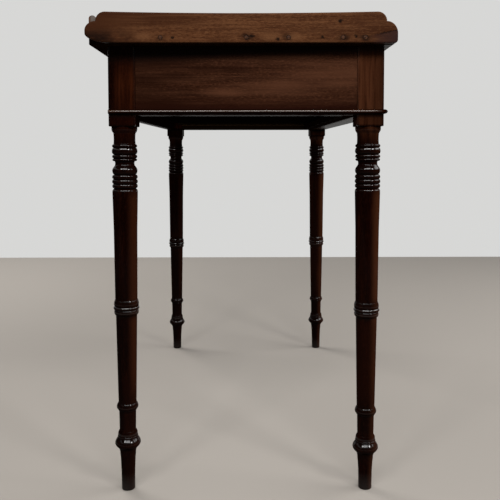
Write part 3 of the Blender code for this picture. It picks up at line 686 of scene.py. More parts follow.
def gallery_end_finish(end, tones, pegs):
    """Mahogany of a gallery end: paler in the middle, stained round its pegs, with painted shade along its
    lower edge; the left one is scarred.
    """
    wood = mahogany(f"gallery_end_{end}_mahogany", tones)
    y = wood.y + (wood.noise(240.0, 240.0, 2.0) - 0.5) * 0.0075
    z = wood.z + (wood.noise(210.0, 280.0, 2.0) - 0.5) * 0.0060
    patchy = wood.noise(30.0, 60.0, 3.0, 0.6)
    upper_back = wood.y.clip(0.0, 0.14) * wood.z.clip(0.754, 0.772)
    wood.shade(tones.gallery_dark, upper_back * 0.85)
    wood.shade(tones.gallery_light, wood.noise(9.0, 240.0, 3.0, 0.6).clip(0.48, 0.64) * 0.35)
    fine_grain = wood.noise(11.0, 430.0, 3.0, 0.6).clip(0.48, 0.62)
    both_ends = abs(wood.y).clip(0.09, 0.26)
    back_half = wood.y.clip(0.04, 0.18)
    back_end = wood.y.clip(0.17, 0.235)
    lower = wood.z.fall(0.738, 0.760) * patchy.clip(0.40, 0.66)
    front_foot = wood.y.fall(-0.225, -0.190) * wood.z.fall(0.748, 0.764)
    wood.shade(tones.gallery_dark, fine_grain * 0.40, both_ends * 0.35, back_half * 0.22, back_end * 0.75)
    wood.shade(tones.gallery_dark, lower * 0.4, front_foot * 0.4)
    back_foot = wood.y.clip(0.15, 0.23) * wood.z.fall(0.742, 0.764) * patchy.clip(0.24, 0.52)
    stain = marks(y, z, [(*peg, PEG_STAIN_R) for peg in pegs], 0.20, 1.5) * patchy.clip(0.30, 0.62)
    # Painted shade along the lower eased edge, which looks down; laid with the dark back foot and the stains
    # round the pegs
    lower_edge = wood.z.fall(0.7350, 0.7372)
    wood.shade(tones.dirt_and_shade, back_foot * 0.85, stain * 0.8, lower_edge * 0.85)
    if end == "left":
        wood.shade(tones.gallery_light, marks(y, z, PALE_SCARS, 0.2, 2.5) * 0.6)
        wood.shade(tones.dirt_and_shade, marks(y, z, NAIL_HOLES, 0.35, 1.3) * 0.9)
        (start_y, start_z), (end_y, end_z) = SPLIT
        slope = (end_z - start_z) / (end_y - start_y)
        above = z - ((wood.y - start_y) * slope + start_z)
        reach = y.fall(start_y - 0.018, start_y + 0.012)
        below = above.fall(-0.0008, 0.0004) * reach
        wood.shade(tones.mended, below * (patchy.clip(0.25, 0.60) * 0.45 + 0.55))
        line = abs(above).fall(0.0003, 0.0014) * reach
        wood.shade(tones.dirt_and_shade, line * patchy.clip(0.20, 0.50) * 0.75)
    return wood.polish(0.43, 0.30, specular=0.03)


def gallery_back_finish(tones):
    """Mahogany of the gallery back, with a painted highlight on its end grain above, and painted shade on its
    end grain below and on its underside.
    """
    wood = mahogany("gallery_back_mahogany", tones)
    # Painted shade on the underside; on the end grain, a pale grey painted highlight above, weaker at the
    # outer side, and painted shade below
    wood.shade(tones.underside_shade, wood.looking_against("Z") * 0.9)
    ends = wood.end_grain()
    upper = wood.z.clip(0.750, 0.762)
    wood.shade(tones.end_highlight, ends * upper * (1 - wood.y.clip(0.2400, 0.2440) * 0.8))
    wood.shade(tones.dirt_and_shade, ends * (1 - upper) * 0.97)
    return wood.polish(0.42, 0.30)


def peg_finish(tones):
    """Mottled end grain of the pegs."""
    wood = mahogany("peg_wood", tones)
    wood.shade(tones.peg, wood.noise(90.0, 500.0).clip(0.30, 0.70) * 0.6)
    wood.shade(tones.dirt_and_shade, wood.noise(60.0, 330.0, 3.0).clip(0.42, 0.62) * 0.7)
    return wood.polish(0.55, 0.3, specular=0.1)


def end_rail_finish(tones):
    """Mahogany of an end rail: smoky and faded in patches, redder along the bead, with a painted shadow under
    the top and painted shade on its underside.
    """
    wood = mahogany("end_rail_mahogany", tones)
    streaks = wood.noise(6.0, 130.0, 4.0, 0.6)
    clouds = wood.noise(7.0, 24.0, 4.0, 0.65).clip(0.46, 0.66)
    fine_grain = wood.noise(11.0, 430.0, 3.0, 0.6).clip(0.46, 0.62)
    smoky = marks(wood.y, wood.z, FRIEZE_SMOKE, 0.0, 5.0) * (1.2 - streaks)
    back_half = wood.y.clip(0.03, 0.17) * (1.15 - streaks)
    pale = marks(wood.y, wood.z, FRIEZE_PALE, 0.0, 4.0) * (streaks + 0.3)
    along_bead = wood.z.fall(BEAD_FOOT + 0.004, BEAD_FOOT + 0.032)
    to_floor = wood.looking_against("Z")
    wood.shade(tones.frieze_light, streaks.clip(0.40, 0.66) * 0.42)
    wood.shade(tones.frieze_dark, clouds * 0.45, fine_grain * 0.40, smoky, back_half * 0.9)
    wood.shade(tones.frieze_light, pale * 0.75)
    wood.shade(tones.frieze_foot, along_bead * 0.95)
    # Painted shadow of the top's overhang, and painted shade on what looks to the floor
    wood.shade(tones.dirt_and_shade, wood.painted_overhang_shadow() * 0.97)
    wood.shade(tones.underside_shade, to_floor * 0.7)
    return wood.polish(0.38, 0.22, gloss=1 - to_floor * 0.65, kind=DULL_GLOSS)


def long_rail_finish(tones):
    """Mahogany of the front and back rails, with painted shade on their undersides, and more on their inner
    faces and beside them below, where they are dull too.
    """
    wood = mahogany("long_rail_mahogany", tones)
    back = wood.y.clip(*MIDWAY)
    # Painted shade on what looks to the floor, and darker still on the inner faces and the strip of underside
    # beside them
    to_floor = wood.looking_against("Z")
    inside = wood.looking_along("Y") * (1 - back) + wood.looking_against("Y") * back
    beside = wood.y.clip(-0.190, -0.182) * (1 - back) + wood.y.fall(0.2010, 0.2183) * back
    inner = (to_floor * beside).most(inside)
    wood.shade(tones.underside_shade, to_floor * 0.7)
    wood.shade(tones.dirt_and_shade, inner * 0.9)
    return wood.polish(0.38, 0.22, gloss=1 - inner, kind=DULL_GLOSS)


def bead_finish(name, tones):
    """Dark mahogany of a bead, worn and with a painted highlight along its crest, but for its front corners.
    """
    wood = mahogany(name, tones)
    along_end = WOODS[name][0] == "Y"
    open_run = wood.y.clip(-0.222, -0.200) if along_end else abs(wood.x).fall(0.405, 0.428)
    # Painted highlight along the crest, laid with its worn line, but for the front corners
    wood.shade(tones.rubbed, wood.attribute("rubbed") ** 2 * open_run * 0.75)
    return wood.polish(0.30, 0.12, gloss=wood.burnish(0.8) * open_run)


def with_wear_and_shade(form):
    """The same form, with room for how worn and how dark with old polish and painted shade each of its points
    is.
    """
    for name in ("rubbed", "grime"):
        form.verts.layers.float.new(name)
    return form


def loft(rings, form=None):
    """A closed form through rings of points: x, y, z, how worn, and how dark with old polish and painted
    shade; it may join another form.
    """
    form = with_wear_and_shade(bmesh.new()) if form is None else form
    rubbed, grime = [form.verts.layers.float[name] for name in ("rubbed", "grime")]
    rows = []
    for ring in rings:
        row = []
        for point in ring:
            vert = form.verts.new(point[:3])
            vert[rubbed], vert[grime] = point[3:]
            row.append(vert)
        rows.append(row)
    for upper, lower in zip(rows, rows[1:]):
        for i in range(len(upper)):
            j = i - 1
            form.faces.new((upper[j], upper[i], lower[i], lower[j]))
    form.faces.new(rows[0])
    form.faces.new(rows[-1])
    bmesh.ops.recalc_face_normals(form, faces=form.faces)
    return form


def placed(name, form):
    """An object of a form, in the scene."""
    mesh = bpy.data.meshes.new(name)
    form.to_mesh(mesh)
    form.free()
    made = bpy.data.objects.new(name, mesh)
    bpy.context.scene.collection.objects.link(made)
    return made


def apply_all(made):
    """Put an object's modifiers into its mesh."""
    graph = bpy.context.evaluated_depsgraph_get()
    mesh = bpy.data.meshes.new_from_object(
        made.evaluated_get(graph), preserve_all_data_layers=True, depsgraph=graph
    )
    made.modifiers.clear()
    rough = made.data
    made.data = mesh
    bpy.data.meshes.remove(rough)
    mesh.name = made.name


def carve(made, cutters):
    """Cut the cutters out of an object."""
    for cutter in cutters:
        modifier = made.modifiers.new(cutter.name, "BOOLEAN")
        modifier.operation = "DIFFERENCE"
        modifier.solver = "EXACT"
        modifier.object = cutter
    apply_all(made)


def discard(objects):
    for made in objects:
        mesh = made.data
        bpy.data.objects.remove(made)
        bpy.data.meshes.remove(mesh)


def fit(made, material, body, nodes):
    """Smooth a piece, finish it, and set it on its body in place of its solids."""
    made.data.shade_smooth()
    made.data.set_sharp_from_angle(angle=math.radians(38.0))
    level = made.modifiers.new("level faces", "WEIGHTED_NORMAL")
    level.keep_sharp = True
    level.weight = 100
    apply_all(made)
    made.data.materials.clear()
    made.data.materials.append(material)
    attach(made, body)
    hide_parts(*nodes)


def finish_node(node, material):
    """Give a solid of the frame its finish."""
    frame["nodes"][node].data.materials.clear()
    frame["nodes"][node].data.materials.append(material)


def node_form(node):
    """A copy of a solid of the frame, with its flat faces whole."""
    form = bmesh.new()
    form.from_mesh(frame["nodes"][node].data)
    bmesh.ops.remove_doubles(form, verts=form.verts, dist=0.000002)
    bmesh.ops.dissolve_limit(
        form, angle_limit=math.radians(0.5), verts=form.verts, edges=form.edges, use_dissolve_boundaries=False
    )
    bmesh.ops.recalc_face_normals(form, faces=form.faces)
    return form


def eased(node, ease):
    """A copy of a solid of the frame with its arrises eased."""
    form = node_form(node)
    arrises = [e for e in form.edges if e.is_manifold and e.calc_face_angle_signed() > math.radians(50)]
    bmesh.ops.bevel(
        form, geom=arrises, offset=ease, offset_type="OFFSET", segments=2, profile=0.5, affect="EDGES",
        clamp_overlap=True,
    )
    return placed(f"eased_{node}", with_wear_and_shade(form))


def arc(middle, reach, start, end, steps):
    """Points of an elliptic arc from one angle to another, in quarter turns."""
    points = []
    for i in range(steps + 1):
        angle = (start + (end - start) * i / steps) * math.pi / 2
        points.append((middle[0] + reach[0] * math.cos(angle), middle[1] + reach[1] * math.sin(angle)))
    return points


def drop(form, share):
    """How far down a member, as a share of its height, a point along its profile lies."""
    bowed = (1 - math.cos(share * math.pi)) / 2
    if form == "lip":
        return bowed**LIP_LEAN
    if form in ("ring", "roll", "bulb") or (form == "vase" and share > 0.5):
        return bowed
    return share


def flank(form, share, swing):
    """1 on the upper flank of a member, where a cloth reaches, and next to 0 below its crest."""
    if form in ("lip", "roll"):
        return min(1.0, 4 * swing) if share < 0.55 else UNRUBBED
    upper = min(1.0, max(UNRUBBED, (0.48 - share) / 0.10))
    return upper if form == "vase" else upper * min(1.0, 3 * swing)


def member(form, top, height, start, extreme, end, burnish):
    """Points of one turned member after its start: radius, height, how worn, and how dark with old polish and
    painted shade.
    """
    steps = MEMBER_STEPS[form]
    points = []
    for i in range(1, steps + 1):
        share = i / steps
        swing = math.sin(share * math.pi)
        grime = 0.0
        if form == "ovolo":
            angle = max(0.0, (share - OVOLO_UPRIGHT) / (1 - OVOLO_UPRIGHT)) * math.pi / 2
            radius = end + (extreme - end) * math.cos(angle)
            rubbed = 1.0 if 0.3 < share < 0.6 else 0.0
            grime = share**3
        elif form == "swell":
            angle = min(1.0, share / SWELL_REACH) * math.pi / 2
            radius = start + (extreme - start) * math.sin(angle)
            rubbed = 1.0 if 0.4 < share < 0.8 else 0.0
            grime = max(0.0, 1 - share * 3)
        elif form == "cove":
            radius = start + (end - start) * (1 - math.cos(share * math.pi / 2))
            rubbed = share
        else:
            side = start if share < 0.5 else end
            radius = side + (extreme - side) * swing
            rubbed = flank(form, share, swing)
            grime = 0.3 * swing if form == "hollow" else math.sqrt(max(0.0, 1 - swing))
        points.append((radius, top - height * drop(form, share), rubbed * burnish, grime))
    return points


def members(table, top, start):
    """Points of a run of turned members, one below the other."""
    points = [(start, top, 0.0, 0.6)]
    for form, height, extreme, end, burnish in table:
        points += member(form, top, height, points[-1][0], extreme, end, burnish)
        top -= height
    return points


def toward(start, end, fall):
    """A clean point of a shaft, that far down from its start on its way to its end."""
    share = fall / (start[1] - end[1])
    return (start[0] + (end[0] - start[0]) * share, start[1] - fall, 0.0, 0.0)


def leg_profile(rise):
    """The turning of a leg, from under its post down to the floor."""
    capital = members(CAPITAL, POST_BOTTOM, CAPITAL_START_R)
    triple = members(TRIPLE, TRIPLE_TOP + rise[0], SHAFT_R)
    ankle = members(ANKLE, ANKLE_TOP + rise[1], ANKLE_R)
    waist = (*SHAFT_WAIST, 0.0, 0.0)
    points = capital + [toward(capital[-1], waist, SHAFT_FADE), waist, toward(triple[0], waist, -SHAFT_FADE)]
    points += triple + [toward(triple[-1], ankle[0], SHAFT_FADE), toward(ankle[0], triple[-1], -SHAFT_FADE)]
    points += ankle + [(*TOE_WAIST, 0.0, 0.0)]
    return points + [(TOE_R, TOE_CHAMFER, 0.3, 0.3), (TOE_R - TOE_CHAMFER, 0.0, 0.0, 1.0)]


def round_ring(middle, radius, height, wear, count):
    """A ring of a turning, starting at the corner of its post."""
    ring = []
    for i in range(count):
        angle = (i / count - 0.125) * math.tau
        x = middle[0] + radius * math.cos(angle)
        y = middle[1] + radius * math.sin(angle)
        ring.append((x, y, height, *wear))
    return ring


def square_ring(middle, half, ease, height, count):
    """A ring of a square post with eased corners, as many points as a ring of its turning."""
    side = count // 4
    slant = ease * (1 - math.sqrt(0.5))
    run = [(half - slant, -half + slant, 1.0)]
    for i in range(side - 1):
        reach = (2 * i / (side - 2) - 1) * (half - ease)
        run.append((half, reach, 0.5 if i in (0, side - 2) else 0.0))
    ring = []
    for c, s in ((1, 0), (0, 1), (-1, 0), (0, -1)):
        for u, v, rubbed in run:
            x, y = middle[0] + c * u - s * v, middle[1] + s * u + c * v
            ring.append((x, y, height, rubbed, 0.0))
    return ring


def leg_form(corner, sizes):
    """A leg: a square post with eased arrises over its turning."""
    low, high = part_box(f"leg_{corner}")
    middle = (low + high) / 2
    half = (high.x - low.x) / 2
    ease = sizes.post_ease
    count = sizes.leg_facets // 4 * 4
    rings = [square_ring(middle, half, ease, z, count) for z in (high.z, POST_BOTTOM + ease + POST_STRIP)]
    for i in range(4):
        angle = i / 3 * math.pi / 2
        inward = ease * (1 - math.cos(angle))
        height = POST_BOTTOM + ease * (1 - math.sin(angle))
        rings.append(square_ring(middle, half - inward, ease, height, count))
    for radius, height, *wear in leg_profile(LEG_RISE[corner]):
        rings.append(round_ring(middle, radius, height, wear, count))
    return loft(rings)


def lathe(profile, count, matrix, form=None):
    """A turning about the local Z of its matrix, with its ends closed; it may join another form."""
    rings = []
    for radius, height, *wear in profile:
        ring = round_ring((0.0, 0.0), radius, height, wear, count)
        rings.append([(*(matrix @ Vector(point[:3])), *point[3:]) for point in ring])
    return loft(rings, form)


def inset(outline, distance):
    """A clockwise outline moved inward."""
    moved = []
    for i, (u, v) in enumerate(outline):
        back = Vector(outline[i]) - Vector(outline[i - 1])
        ahead = Vector(outline[(i + 1) % len(outline)]) - Vector(outline[i])
        first = Vector((back.y, -back.x)).normalized()
        second = Vector((ahead.y, -ahead.x)).normalized()
        way = (first + second).normalized()
        way *= distance / max(0.5, way.dot(first))
        moved.append((u + way.x, v + way.y))
    return moved


def end_board_outline(board_length, high):
    """Outline of a gallery end, clockwise from its lower front corner, with the front at u = 0."""
    step = high - SHOULDER_R
    left = LOBE_FRONT[0] + SHOULDER_R
    right = board_length - LOBE_BACK[0] - SHOULDER_R
    corner = (SHOULDER_R, SHOULDER_R)
    outline = arc((FOOT_R, FOOT_R), (FOOT_R, FOOT_R), 3, 2, 6)
    outline += arc((LOBE_FRONT[0], step - LOBE_FRONT[1]), LOBE_FRONT, 2, 1, 14)
    outline += arc((left, step), corner, 2, 1, 12)[1:]
    for i in range(1, 24):
        share = i / 24
        outline.append((left + (right - left) * share, high - HOLLOW * 4 * share * (1 - share)))
    outline += arc((right, step), corner, 1, 0, 12)
    outline += arc((board_length - LOBE_BACK[0], step - LOBE_BACK[1]), LOBE_BACK, 1, 0, 14)[1:]
    outline += arc((board_length - SWEEP[0], SWEEP[1]), SWEEP, 0, -1, 18)
    return outline


def end_board_form(node, sizes):
    """A gallery end with rounded arrises, worn along them."""
    low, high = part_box(node)
    outline = end_board_outline(high.y - low.y, high.z - low.z)
    thick = high.x - low.x
    ease = sizes.board_ease
    # Across half the thickness: depth from the face, how far in, how rubbed
    edge = [(0.0, ease + sizes.wear_reach, 0.0), (0.0, ease, 0.45)]
    for i in range(1, 6):
        angle = i / 6 * math.pi / 2
        edge.append((ease * (1 - math.cos(angle)), ease * (1 - math.sin(angle)), 0.9))
    edge += [(ease, 0.0, 0.5), (ease + sizes.wear_reach, 0.0, 0.15)]
    rings = []
    for depth, inward, rubbed in edge + [(thick - d, i, r) for d, i, r in reversed(edge)]:
        points = inset(outline, inward) if inward else outline
        rings.append([(low.x + depth, low.y + u, low.z + v, rubbed, 0.0) for u, v in points])
    return loft(rings)


def long_board_form(node, section):
    """A board along X from a section of points: y, z, how worn, and how dark with old polish and painted
    shade.
    """
    low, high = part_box(node)
    return loft([[(x, *point) for point in section] for x in (low.x, high.x)])


def nosed(points, rubbed):
    """Points of a rounded edge, rubbed most at its middle."""
    shares = [(i + 0.5) / len(points) for i in range(len(points))]
    return [(*point, rubbed * math.sin(math.pi * share), 0.0) for point, share in zip(points, shares)]


def flat(*points):
    """Clean points of a section."""
    return [(*point, 0.0, 0.0) for point in points]


def top_section(sizes):
    """The top board, rounded at its front."""
    low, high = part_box("top_board")
    r = sizes.top_nose
    reach = low.y + r + TOP_STRIP
    front = arc((low.y + r, high.z - r), (r, r), 1, 2, 9) + arc((low.y + r, low.z + r), (r, r), 2, 3, 9)
    section = flat((reach, high.z)) + nosed(front, 0.8)
    return section + flat((reach, low.z), (high.y, low.z), (high.y, high.z))


def back_section(sizes):
    """The gallery back, rounded above and a little at its outer lower corner."""
    low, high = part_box("gallery_back")
    r = sizes.back_nose
    foot = sizes.back_foot
    reach = high.z - r - BACK_STRIP
    upper = arc((high.y - r, high.z - r), (r, r), 0, 1, 9) + arc((low.y + r, high.z - r), (r, r), 1, 2, 9)
    lower = arc((high.y - foot, low.z + foot), (foot, foot), -1, 0, 4)
    section = flat((low.y, low.z)) + nosed(lower, 0.3) + flat((high.y, reach))
    return section + nosed(upper, 0.8) + flat((low.y, reach))


def peg_nodes():
    """The pegs by the board that they hold, with the way that each set runs."""
    runs = {}
    for end, side in ENDS.items():
        names = [f"gallery_peg_{end}_{i + 1}" for i in range(END_PEGS)]
        runs[f"end_{end}"] = (names, Vector((side, 0.0, 0.0)))
    runs["back"] = ([f"gallery_peg_back_{i + 1}" for i in range(BACK_PEGS)], Vector((0.0, 1.0, 0.0)))
    return runs


def peg_forms(nodes, way, wider):
    """Round pegs in the places of their solids, crowned at their outer ends, or wider bores for them."""
    whole = with_wear_and_shade(bmesh.new())
    for node in nodes:
        low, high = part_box(node)
        half = abs((high - low).dot(way)) / 2
        radius = (high.z - low.z) / 2 + wider
        matrix = Matrix.Translation((low + high) / 2) @ way.to_track_quat("Z", "Y").to_matrix().to_4x4()
        if wider:
            profile = flat((radius, half + wider), (radius, -half - wider))
        else:
            profile = [(radius * s, half - PEG_CROWN * s**3, 0.0, s**4) for s in PEG_CROWN_SHARES]
            profile += [(radius, half - PEG_COLLAR, 0.0, 1.0), (radius, -half, 0.0, 0.0)]
        lathe(profile, PEG_FACETS, matrix, whole)
    return whole


def bead_form(section, ends):
    """A bead between two mitred ends: each turns an outward and an upward distance into a point."""
    rings = []
    for end in ends:
        ring = []
        for i, (u, v) in enumerate(section):
            share = i / (len(section) - 1)
            rubbed = max(0.0, 1 - abs(share - BEAD_CREST) / BEAD_CREST_REACH)
            # Dark with painted shade where the bead meets the rail, above and below
            ring.append((*end(u, v), rubbed, (2 * share - 1) ** 4))
        rings.append(ring)
    return loft(rings)


def bead_forms():
    """Astragal bead along the front and both ends, mitred at the front corners."""
    low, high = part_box("bead_front")
    out = high.y - low.y
    tall = high.z - low.z
    front_y = high.y + GAP
    section = arc((GAP, tall / 2), (out, tall / 2), -1, 1, 18)
    reach = high.x - out
    ends = [lambda u, v, s=s: (s * (reach + u - GAP), front_y - u, low.z + v) for s in (-1, 1)]
    forms = {"bead_front": bead_form(section, ends)}
    for end, side in ENDS.items():
        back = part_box(f"bead_{end}")[1].y
        ends = [
            lambda u, v, s=side: (s * (reach + u), front_y - u, low.z + v),
            lambda u, v, s=side, b=back: (s * (reach + u), b, low.z + v),
        ]
        forms[f"bead_{end}"] = bead_form(section, ends)
    return forms


def cockbead_form(end):
    """A round-nosed strip let into one edge of the drawer front, mitred at its corners."""
    low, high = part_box(f"cockbead_{end}")
    whole_low, whole_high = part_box("drawer_front")
    thick = min(high.x - low.x, high.z - low.z)
    r = thick / 2
    strip = low.y + r + COCKBEAD_STRIP
    nose = arc((low.y + r, r), (r, r), 3, 1, 12)
    outline = [(high.y, thick, 0.0), (high.y, 0.0, 0.0), (strip, 0.0, 0.0)]
    outline += [(y, v, math.sin(math.pi * i / 12)) for i, (y, v) in enumerate(nose)]
    outline.append((strip, thick, 0.0))
    rings = []
    for way in (-1, 1):
        ring = []
        for y, v, rubbed in outline:
            if end in ("top", "bottom"):
                x = way * (whole_high.x - v - GAP)
                z = high.z - v if end == "top" else low.z + v
            else:
                x = low.x + v if end == "left" else high.x - v
                z = whole_high.z - v - GAP if way > 0 else whole_low.z + v + GAP
            ring.append((x, y, z, rubbed * 0.8, 0.0 if y < low.y + thick else 0.6))
        rings.append(ring)
    return loft(rings)


def knob_form(end):
    """A turned knob with a stepped crown, on a rose, with its spigot."""
    low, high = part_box(f"knob_{end}")
    middle = (low + high) / 2
    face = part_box("drawer_front")[0].y
    out = face - low.y
    tail = high.y - face
    r = (high.x - low.x) / 2
    stem, rose, spigot = r * KNOB_STEM, r * KNOB_ROSE, r * KNOB_SPIGOT
    crown = out - r / 2
    profile = [(r * share, out - sunk, *wear) for share, sunk, *wear in KNOB_EYE]
    profile += [(*point, 0.6, 0.0) for point in arc((0.0, crown), (r, r / 2 - 0.0002), 0.72, 0, 10)]
    profile += flat(*arc((stem, crown), (r - stem, crown / 2), 0, -1, 9)[1:])
    profile.append((stem, crown / 4, 0.0, 1.0))
    rose_edge = arc((stem, GAP + crown / 8), (rose - stem, crown / 8 - GAP), 1, 0, 5)
    profile += [(*point, 0.3, 0.1) for point in rose_edge]
    profile += [(rose, GAP, 0.0, 1.0), (spigot, GAP, 0.0, 1.0), (spigot, -tail, 0.0, 0.0)]
    hub = Matrix.Translation((middle.x, face, middle.z)) @ Matrix.Rotation(math.pi / 2, 4, "X")
    return lathe(profile, KNOB_FACETS, hub)


class WRITING_TABLE_OT_legs(bpy.types.Operator):
    """Turn the four legs, with mortises for the rails"""

    bl_idname = "writing_table.legs"
    bl_label = "Legs"

    def execute(self, context):
        material = leg_finish(context.scene.table_tones)
        for corner in CORNERS:
            leg = placed(f"turned_leg_{corner}", leg_form(corner, context.scene.table_sizes))
            face, end = corner.split("_")
            rails = [f"end_rail_{end}"]
            rails += ["front_top_rail", "front_lower_rail"] if face == "front" else ["back_rail"]
            tenons = [placed(f"{rail}_tenons", node_form(rail)) for rail in rails]
            carve(leg, tenons)
            discard(tenons)
            fit(leg, material, "table", [f"leg_{corner}"])
        return {"FINISHED"}


class WRITING_TABLE_OT_top(bpy.types.Operator):
    """Lay the top board and its gallery, with their pegs"""

    bl_idname = "writing_table.top"
    bl_label = "Top and gallery"

    def execute(self, context):
        tones = context.scene.table_tones
        sizes = context.scene.table_sizes
        runs = peg_nodes()
        bores = {run: placed(f"bores_{run}", peg_forms(*runs[run], GAP)) for run in runs}

        top = placed("eased_top_board", long_board_form("top_board", top_section(sizes)))
        carve(top, bores.values())
        fit(top, top_finish(tones), "table", ["top_board"])

        for end in ENDS:
            node = f"gallery_end_{end}"
            board = placed(f"eased_{node}", end_board_form(node, sizes))
            carve(board, [bores[f"end_{end}"]])
            middles = [sum(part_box(peg), Vector()) / 2 for peg in runs[f"end_{end}"][0]]
            material = gallery_end_finish(end, tones, [(middle.y, middle.z) for middle in middles])
            fit(board, material, "table", [node])

        back = placed("eased_gallery_back", long_board_form("gallery_back", back_section(sizes)))
        carve(back, [bores["back"]])
        fit(back, gallery_back_finish(tones), "table", ["gallery_back"])
        discard(bores.values())

        material = peg_finish(tones)
        for run, (nodes, way) in runs.items():
            pegs = placed(f"pegs_{run}", peg_forms(nodes, way, 0.0))
            fit(pegs, material, "table", nodes)
        return {"FINISHED"}


class WRITING_TABLE_OT_frieze(bpy.types.Operator):
    """Finish the rails of the frieze and lay the bead along its foot"""

    bl_idname = "writing_table.frieze"
    bl_label = "Frieze and bead"

    def execute(self, context):
        tones = context.scene.table_tones
        rails = dict.fromkeys(("end_rail_left", "end_rail_right"), end_rail_finish(tones))
        rails |= dict.fromkeys(("back_rail", "front_top_rail", "front_lower_rail"), long_rail_finish(tones))
        for node, material in rails.items():
            rail = eased(node, context.scene.table_sizes.rail_ease)
            fit(rail, material, "table", [node])

        beads = dict.fromkeys(("bead_left", "bead_right"), bead_finish("end_bead_mahogany", tones))
        beads["bead_front"] = bead_finish("front_bead_mahogany", tones)
        for node, form in bead_forms().items():
            bead = placed(f"round_{node}", form)
            fit(bead, beads[node], "table", [node])
        return {"FINISHED"}


class WRITING_TABLE_OT_drawer(bpy.types.Operator):
    """Finish the drawer: its front, cockbeads and knobs, and its oak lining"""

    bl_idname = "writing_table.drawer"
    bl_label = "Drawer"

    def execute(self, context):
        tones = context.scene.table_tones
        front = mahogany("drawer_front_mahogany", tones)
        finish_node("drawer_front", front.polish(0.36, 0.20, specular=0.04))

        strip = mahogany("cockbead_mahogany", tones)
        strip = strip.polish(0.36, 0.15, specular=0.03, gloss=strip.burnish(0.15))
        for end in ("top", "bottom", "left", "right"):
            bead = placed(f"round_cockbead_{end}", cockbead_form(end))
            fit(bead, strip, "drawer", [f"cockbead_{end}"])

        turned = mahogany("knob_mahogany", tones)
        turned = turned.polish(0.22, 0.14, specular=0.10, gloss=turned.burnish(0.3))
        for end in ENDS:
            knob = placed(f"turned_knob_{end}", knob_form(end))
            fit(knob, turned, "drawer", [f"knob_{end}"])

        sides = ("drawer_side_left", "drawer_side_right")
        lining = dict.fromkeys(sides, plain_wood("drawer_side_oak", tones))
        lining |= dict.fromkeys(("drawer_back", "drawer_bottom"), plain_wood("drawer_bottom_oak", tones))
        for node, material in lining.items():
            finish_node(node, material)
        return {"FINISHED"}


class WRITING_TABLE_OT_carcase(bpy.types.Operator):
    """Finish the pine that carries and guides the drawer"""

    bl_idname = "writing_table.carcase"
    bl_label = "Carcase"

    def execute(self, context):
        tones = context.scene.table_tones
        slides = [f"{part}_{end}" for part in ("runner", "guide", "kicker") for end in ENDS]
        blocks = [f"drawer_stop_{end}" for end in ENDS]
        blocks += [f"glue_block_{i + 1}" for i in range(GLUE_BLOCKS)]
        woods = dict.fromkeys(slides, plain_wood("runner_pine", tones))
        woods |= dict.fromkeys(blocks, plain_wood("block_pine", tones))
        for node, material in woods.items():
            block = eased(node, context.scene.table_sizes.rail_ease)
            fit(block, material, "table", [node])
        return {"FINISHED"}


def plane(name, reach, colour, roughness):
    """A flat square of the stage, in one colour."""
    form = bmesh.new()
    bmesh.ops.create_grid(form, x_segments=1, y_segments=1, size=reach)
    made = placed(name, form)
    material = bpy.data.materials.new(name)
    material.use_nodes = True
    shader = material.node_tree.nodes["Principled BSDF"]
    shader.inputs["Base Color"].default_value = (*colour, 1.0)
    shader.inputs["Roughness"].default_value = roughness
    made.data.materials.append(material)
    return made


def dark_flags(colour):
    """Dark cards round the near half of the stage and over it, there for reflections only."""
    upright = Matrix.Rotation(math.pi / 2, 4, "Y") @ Matrix.Diagonal((*FLAG_REACH, 1.0, 1.0))
    places = {}
    for name, (place, turns) in FLAGS.items():
        places[name] = Matrix.Translation(place) @ Matrix.Rotation(turns * math.pi / 2, 4, "Z") @ upright
    places["over"] = Matrix.Translation(COVER_PLACE) @ Matrix.Diagonal((*COVER_REACH, 1.0, 1.0))
    for name, matrix in places.items():
        card = plane(f"dark_flag_{name}", 1.0, colour, 0.9)
        card.matrix_world = matrix
        for rays in ("camera", "diffuse", "shadow", "transmission"):
            setattr(card, f"visible_{rays}", False)


def lamp(name, target, power):
    """A broad soft lamp, turned to a point."""
    place, (width, height) = LAMPS[name]
    light = bpy.data.lights.new(f"{name}_lamp", "AREA")
    light.shape = "RECTANGLE"
    light.size = width
    light.size_y = height
    light.energy = power
    made = bpy.data.objects.new(f"{name}_lamp", light)
    made.location = place
    made.rotation_euler = (target - Vector(place)).to_track_quat("-Z", "Y").to_euler()
    made.visible_glossy = name != "fill"
    bpy.context.scene.collection.objects.link(made)


def surround(stage):
    """Even light from all round, with a pale backdrop where the eye or a reflection meets it."""
    world = bpy.data.worlds.new("surround")
    bpy.context.scene.world = world
    world.use_nodes = True
    tree = world.node_tree
    tree.nodes.clear()
    path = Flow(tree).add("ShaderNodeLightPath", output="Is Camera Ray")
    seen = path + path.other("Is Glossy Ray") + path.other("Is Transmission Ray")
    even = path.add("ShaderNodeBackground", sockets={"Color": (1, 1, 1, 1), "Strength": stage.ambient})
    pale = path.add("ShaderNodeBackground", sockets={"Color": (*stage.backdrop, 1), "Strength": 1.0})
    both = path.add("ShaderNodeMixShader", sockets={0: seen, 1: even, 2: pale})
    output = tree.nodes.new("ShaderNodeOutputWorld")
    tree.links.new(both.socket, output.inputs["Surface"])


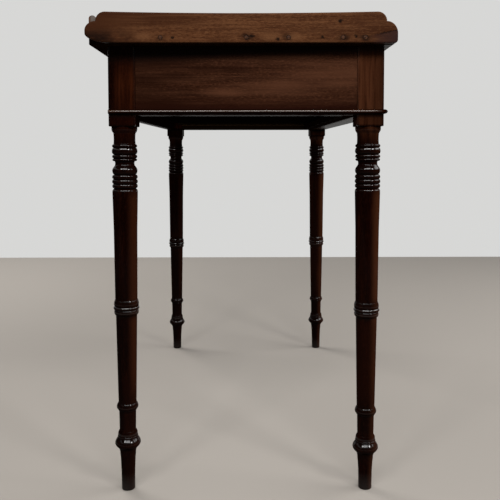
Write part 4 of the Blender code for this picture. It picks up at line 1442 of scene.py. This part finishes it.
def camera(stage):
    """The photograph's view of the left end of the table."""
    lens = bpy.data.cameras.new("photo_camera")
    lens.sensor_width = SENSOR
    lens.lens = stage.lens
    lens.shift_y = stage.shift
    lens.clip_start, lens.clip_end = CLIP
    made = bpy.data.objects.new("photo_camera", lens)
    bpy.context.scene.collection.objects.link(made)
    yaw, pitch, roll = stage.camera_yaw, stage.camera_pitch, stage.camera_roll
    level = Vector((math.cos(yaw), math.sin(yaw), 0.0))
    up = Vector((0.0, 0.0, 1.0))
    ahead = level * math.cos(pitch) - up * math.sin(pitch)
    over = level * math.sin(pitch) + up * math.cos(pitch)
    left = Vector((-math.sin(yaw), math.cos(yaw), 0.0))
    tilted_left = left * math.cos(roll) + over * math.sin(roll)
    tilted_over = over * math.cos(roll) - left * math.sin(roll)
    basis = Matrix((-tilted_left, tilted_over, -ahead)).transposed()
    made.matrix_world = Matrix.Translation(stage.camera_place) @ basis.to_4x4()
    bpy.context.scene.camera = made


class WRITING_TABLE_OT_stage(bpy.types.Operator):
    """Set the floor, the surround, the lamps and the camera"""

    bl_idname = "writing_table.stage"
    bl_label = "Stage"

    def execute(self, context):
        stage = context.scene.table_stage
        plane("floor", stage.floor_reach, stage.floor, 0.75)
        dark_flags(stage.flag)
        surround(stage)
        middle = sum(CAD_BOX, Vector()) / 2
        for name in LAMPS:
            lamp(name, middle, getattr(stage, f"{name}_power"))
        camera(stage)
        context.scene.view_settings.view_transform = "Standard"
        return {"FINISHED"}


OPERATORS = (
    WRITING_TABLE_OT_legs,
    WRITING_TABLE_OT_top,
    WRITING_TABLE_OT_frieze,
    WRITING_TABLE_OT_drawer,
    WRITING_TABLE_OT_carcase,
    WRITING_TABLE_OT_stage,
)


class WRITING_TABLE_PT_pieces(bpy.types.Panel):
    """The steps of the finish, in order"""

    bl_idname = "WRITING_TABLE_PT_pieces"
    bl_label = "Writing Table"
    bl_space_type = "VIEW_3D"
    bl_region_type = "UI"
    bl_category = "Writing Table"

    def draw(self, context):
        for operator in OPERATORS:
            self.layout.operator(operator.bl_idname)


GROUPS = {"table_sizes": TableSizes, "table_tones": TableTones, "table_stage": TableStage}


def register():
    for made in (*GROUPS.values(), *OPERATORS, WRITING_TABLE_PT_pieces):
        bpy.utils.register_class(made)
    for name, group in GROUPS.items():
        setattr(bpy.types.Scene, name, bpy.props.PointerProperty(type=group))


def unregister():
    for name in GROUPS:
        delattr(bpy.types.Scene, name)
    for made in (WRITING_TABLE_PT_pieces, *OPERATORS, *GROUPS.values()):
        bpy.utils.unregister_class(made)


def main():
    register()
    bpy.ops.writing_table.stage()
    bpy.ops.writing_table.legs()
    bpy.ops.writing_table.top()
    bpy.ops.writing_table.frieze()
    bpy.ops.writing_table.drawer()
    bpy.ops.writing_table.carcase()


if __name__ == "__main__":
    main()
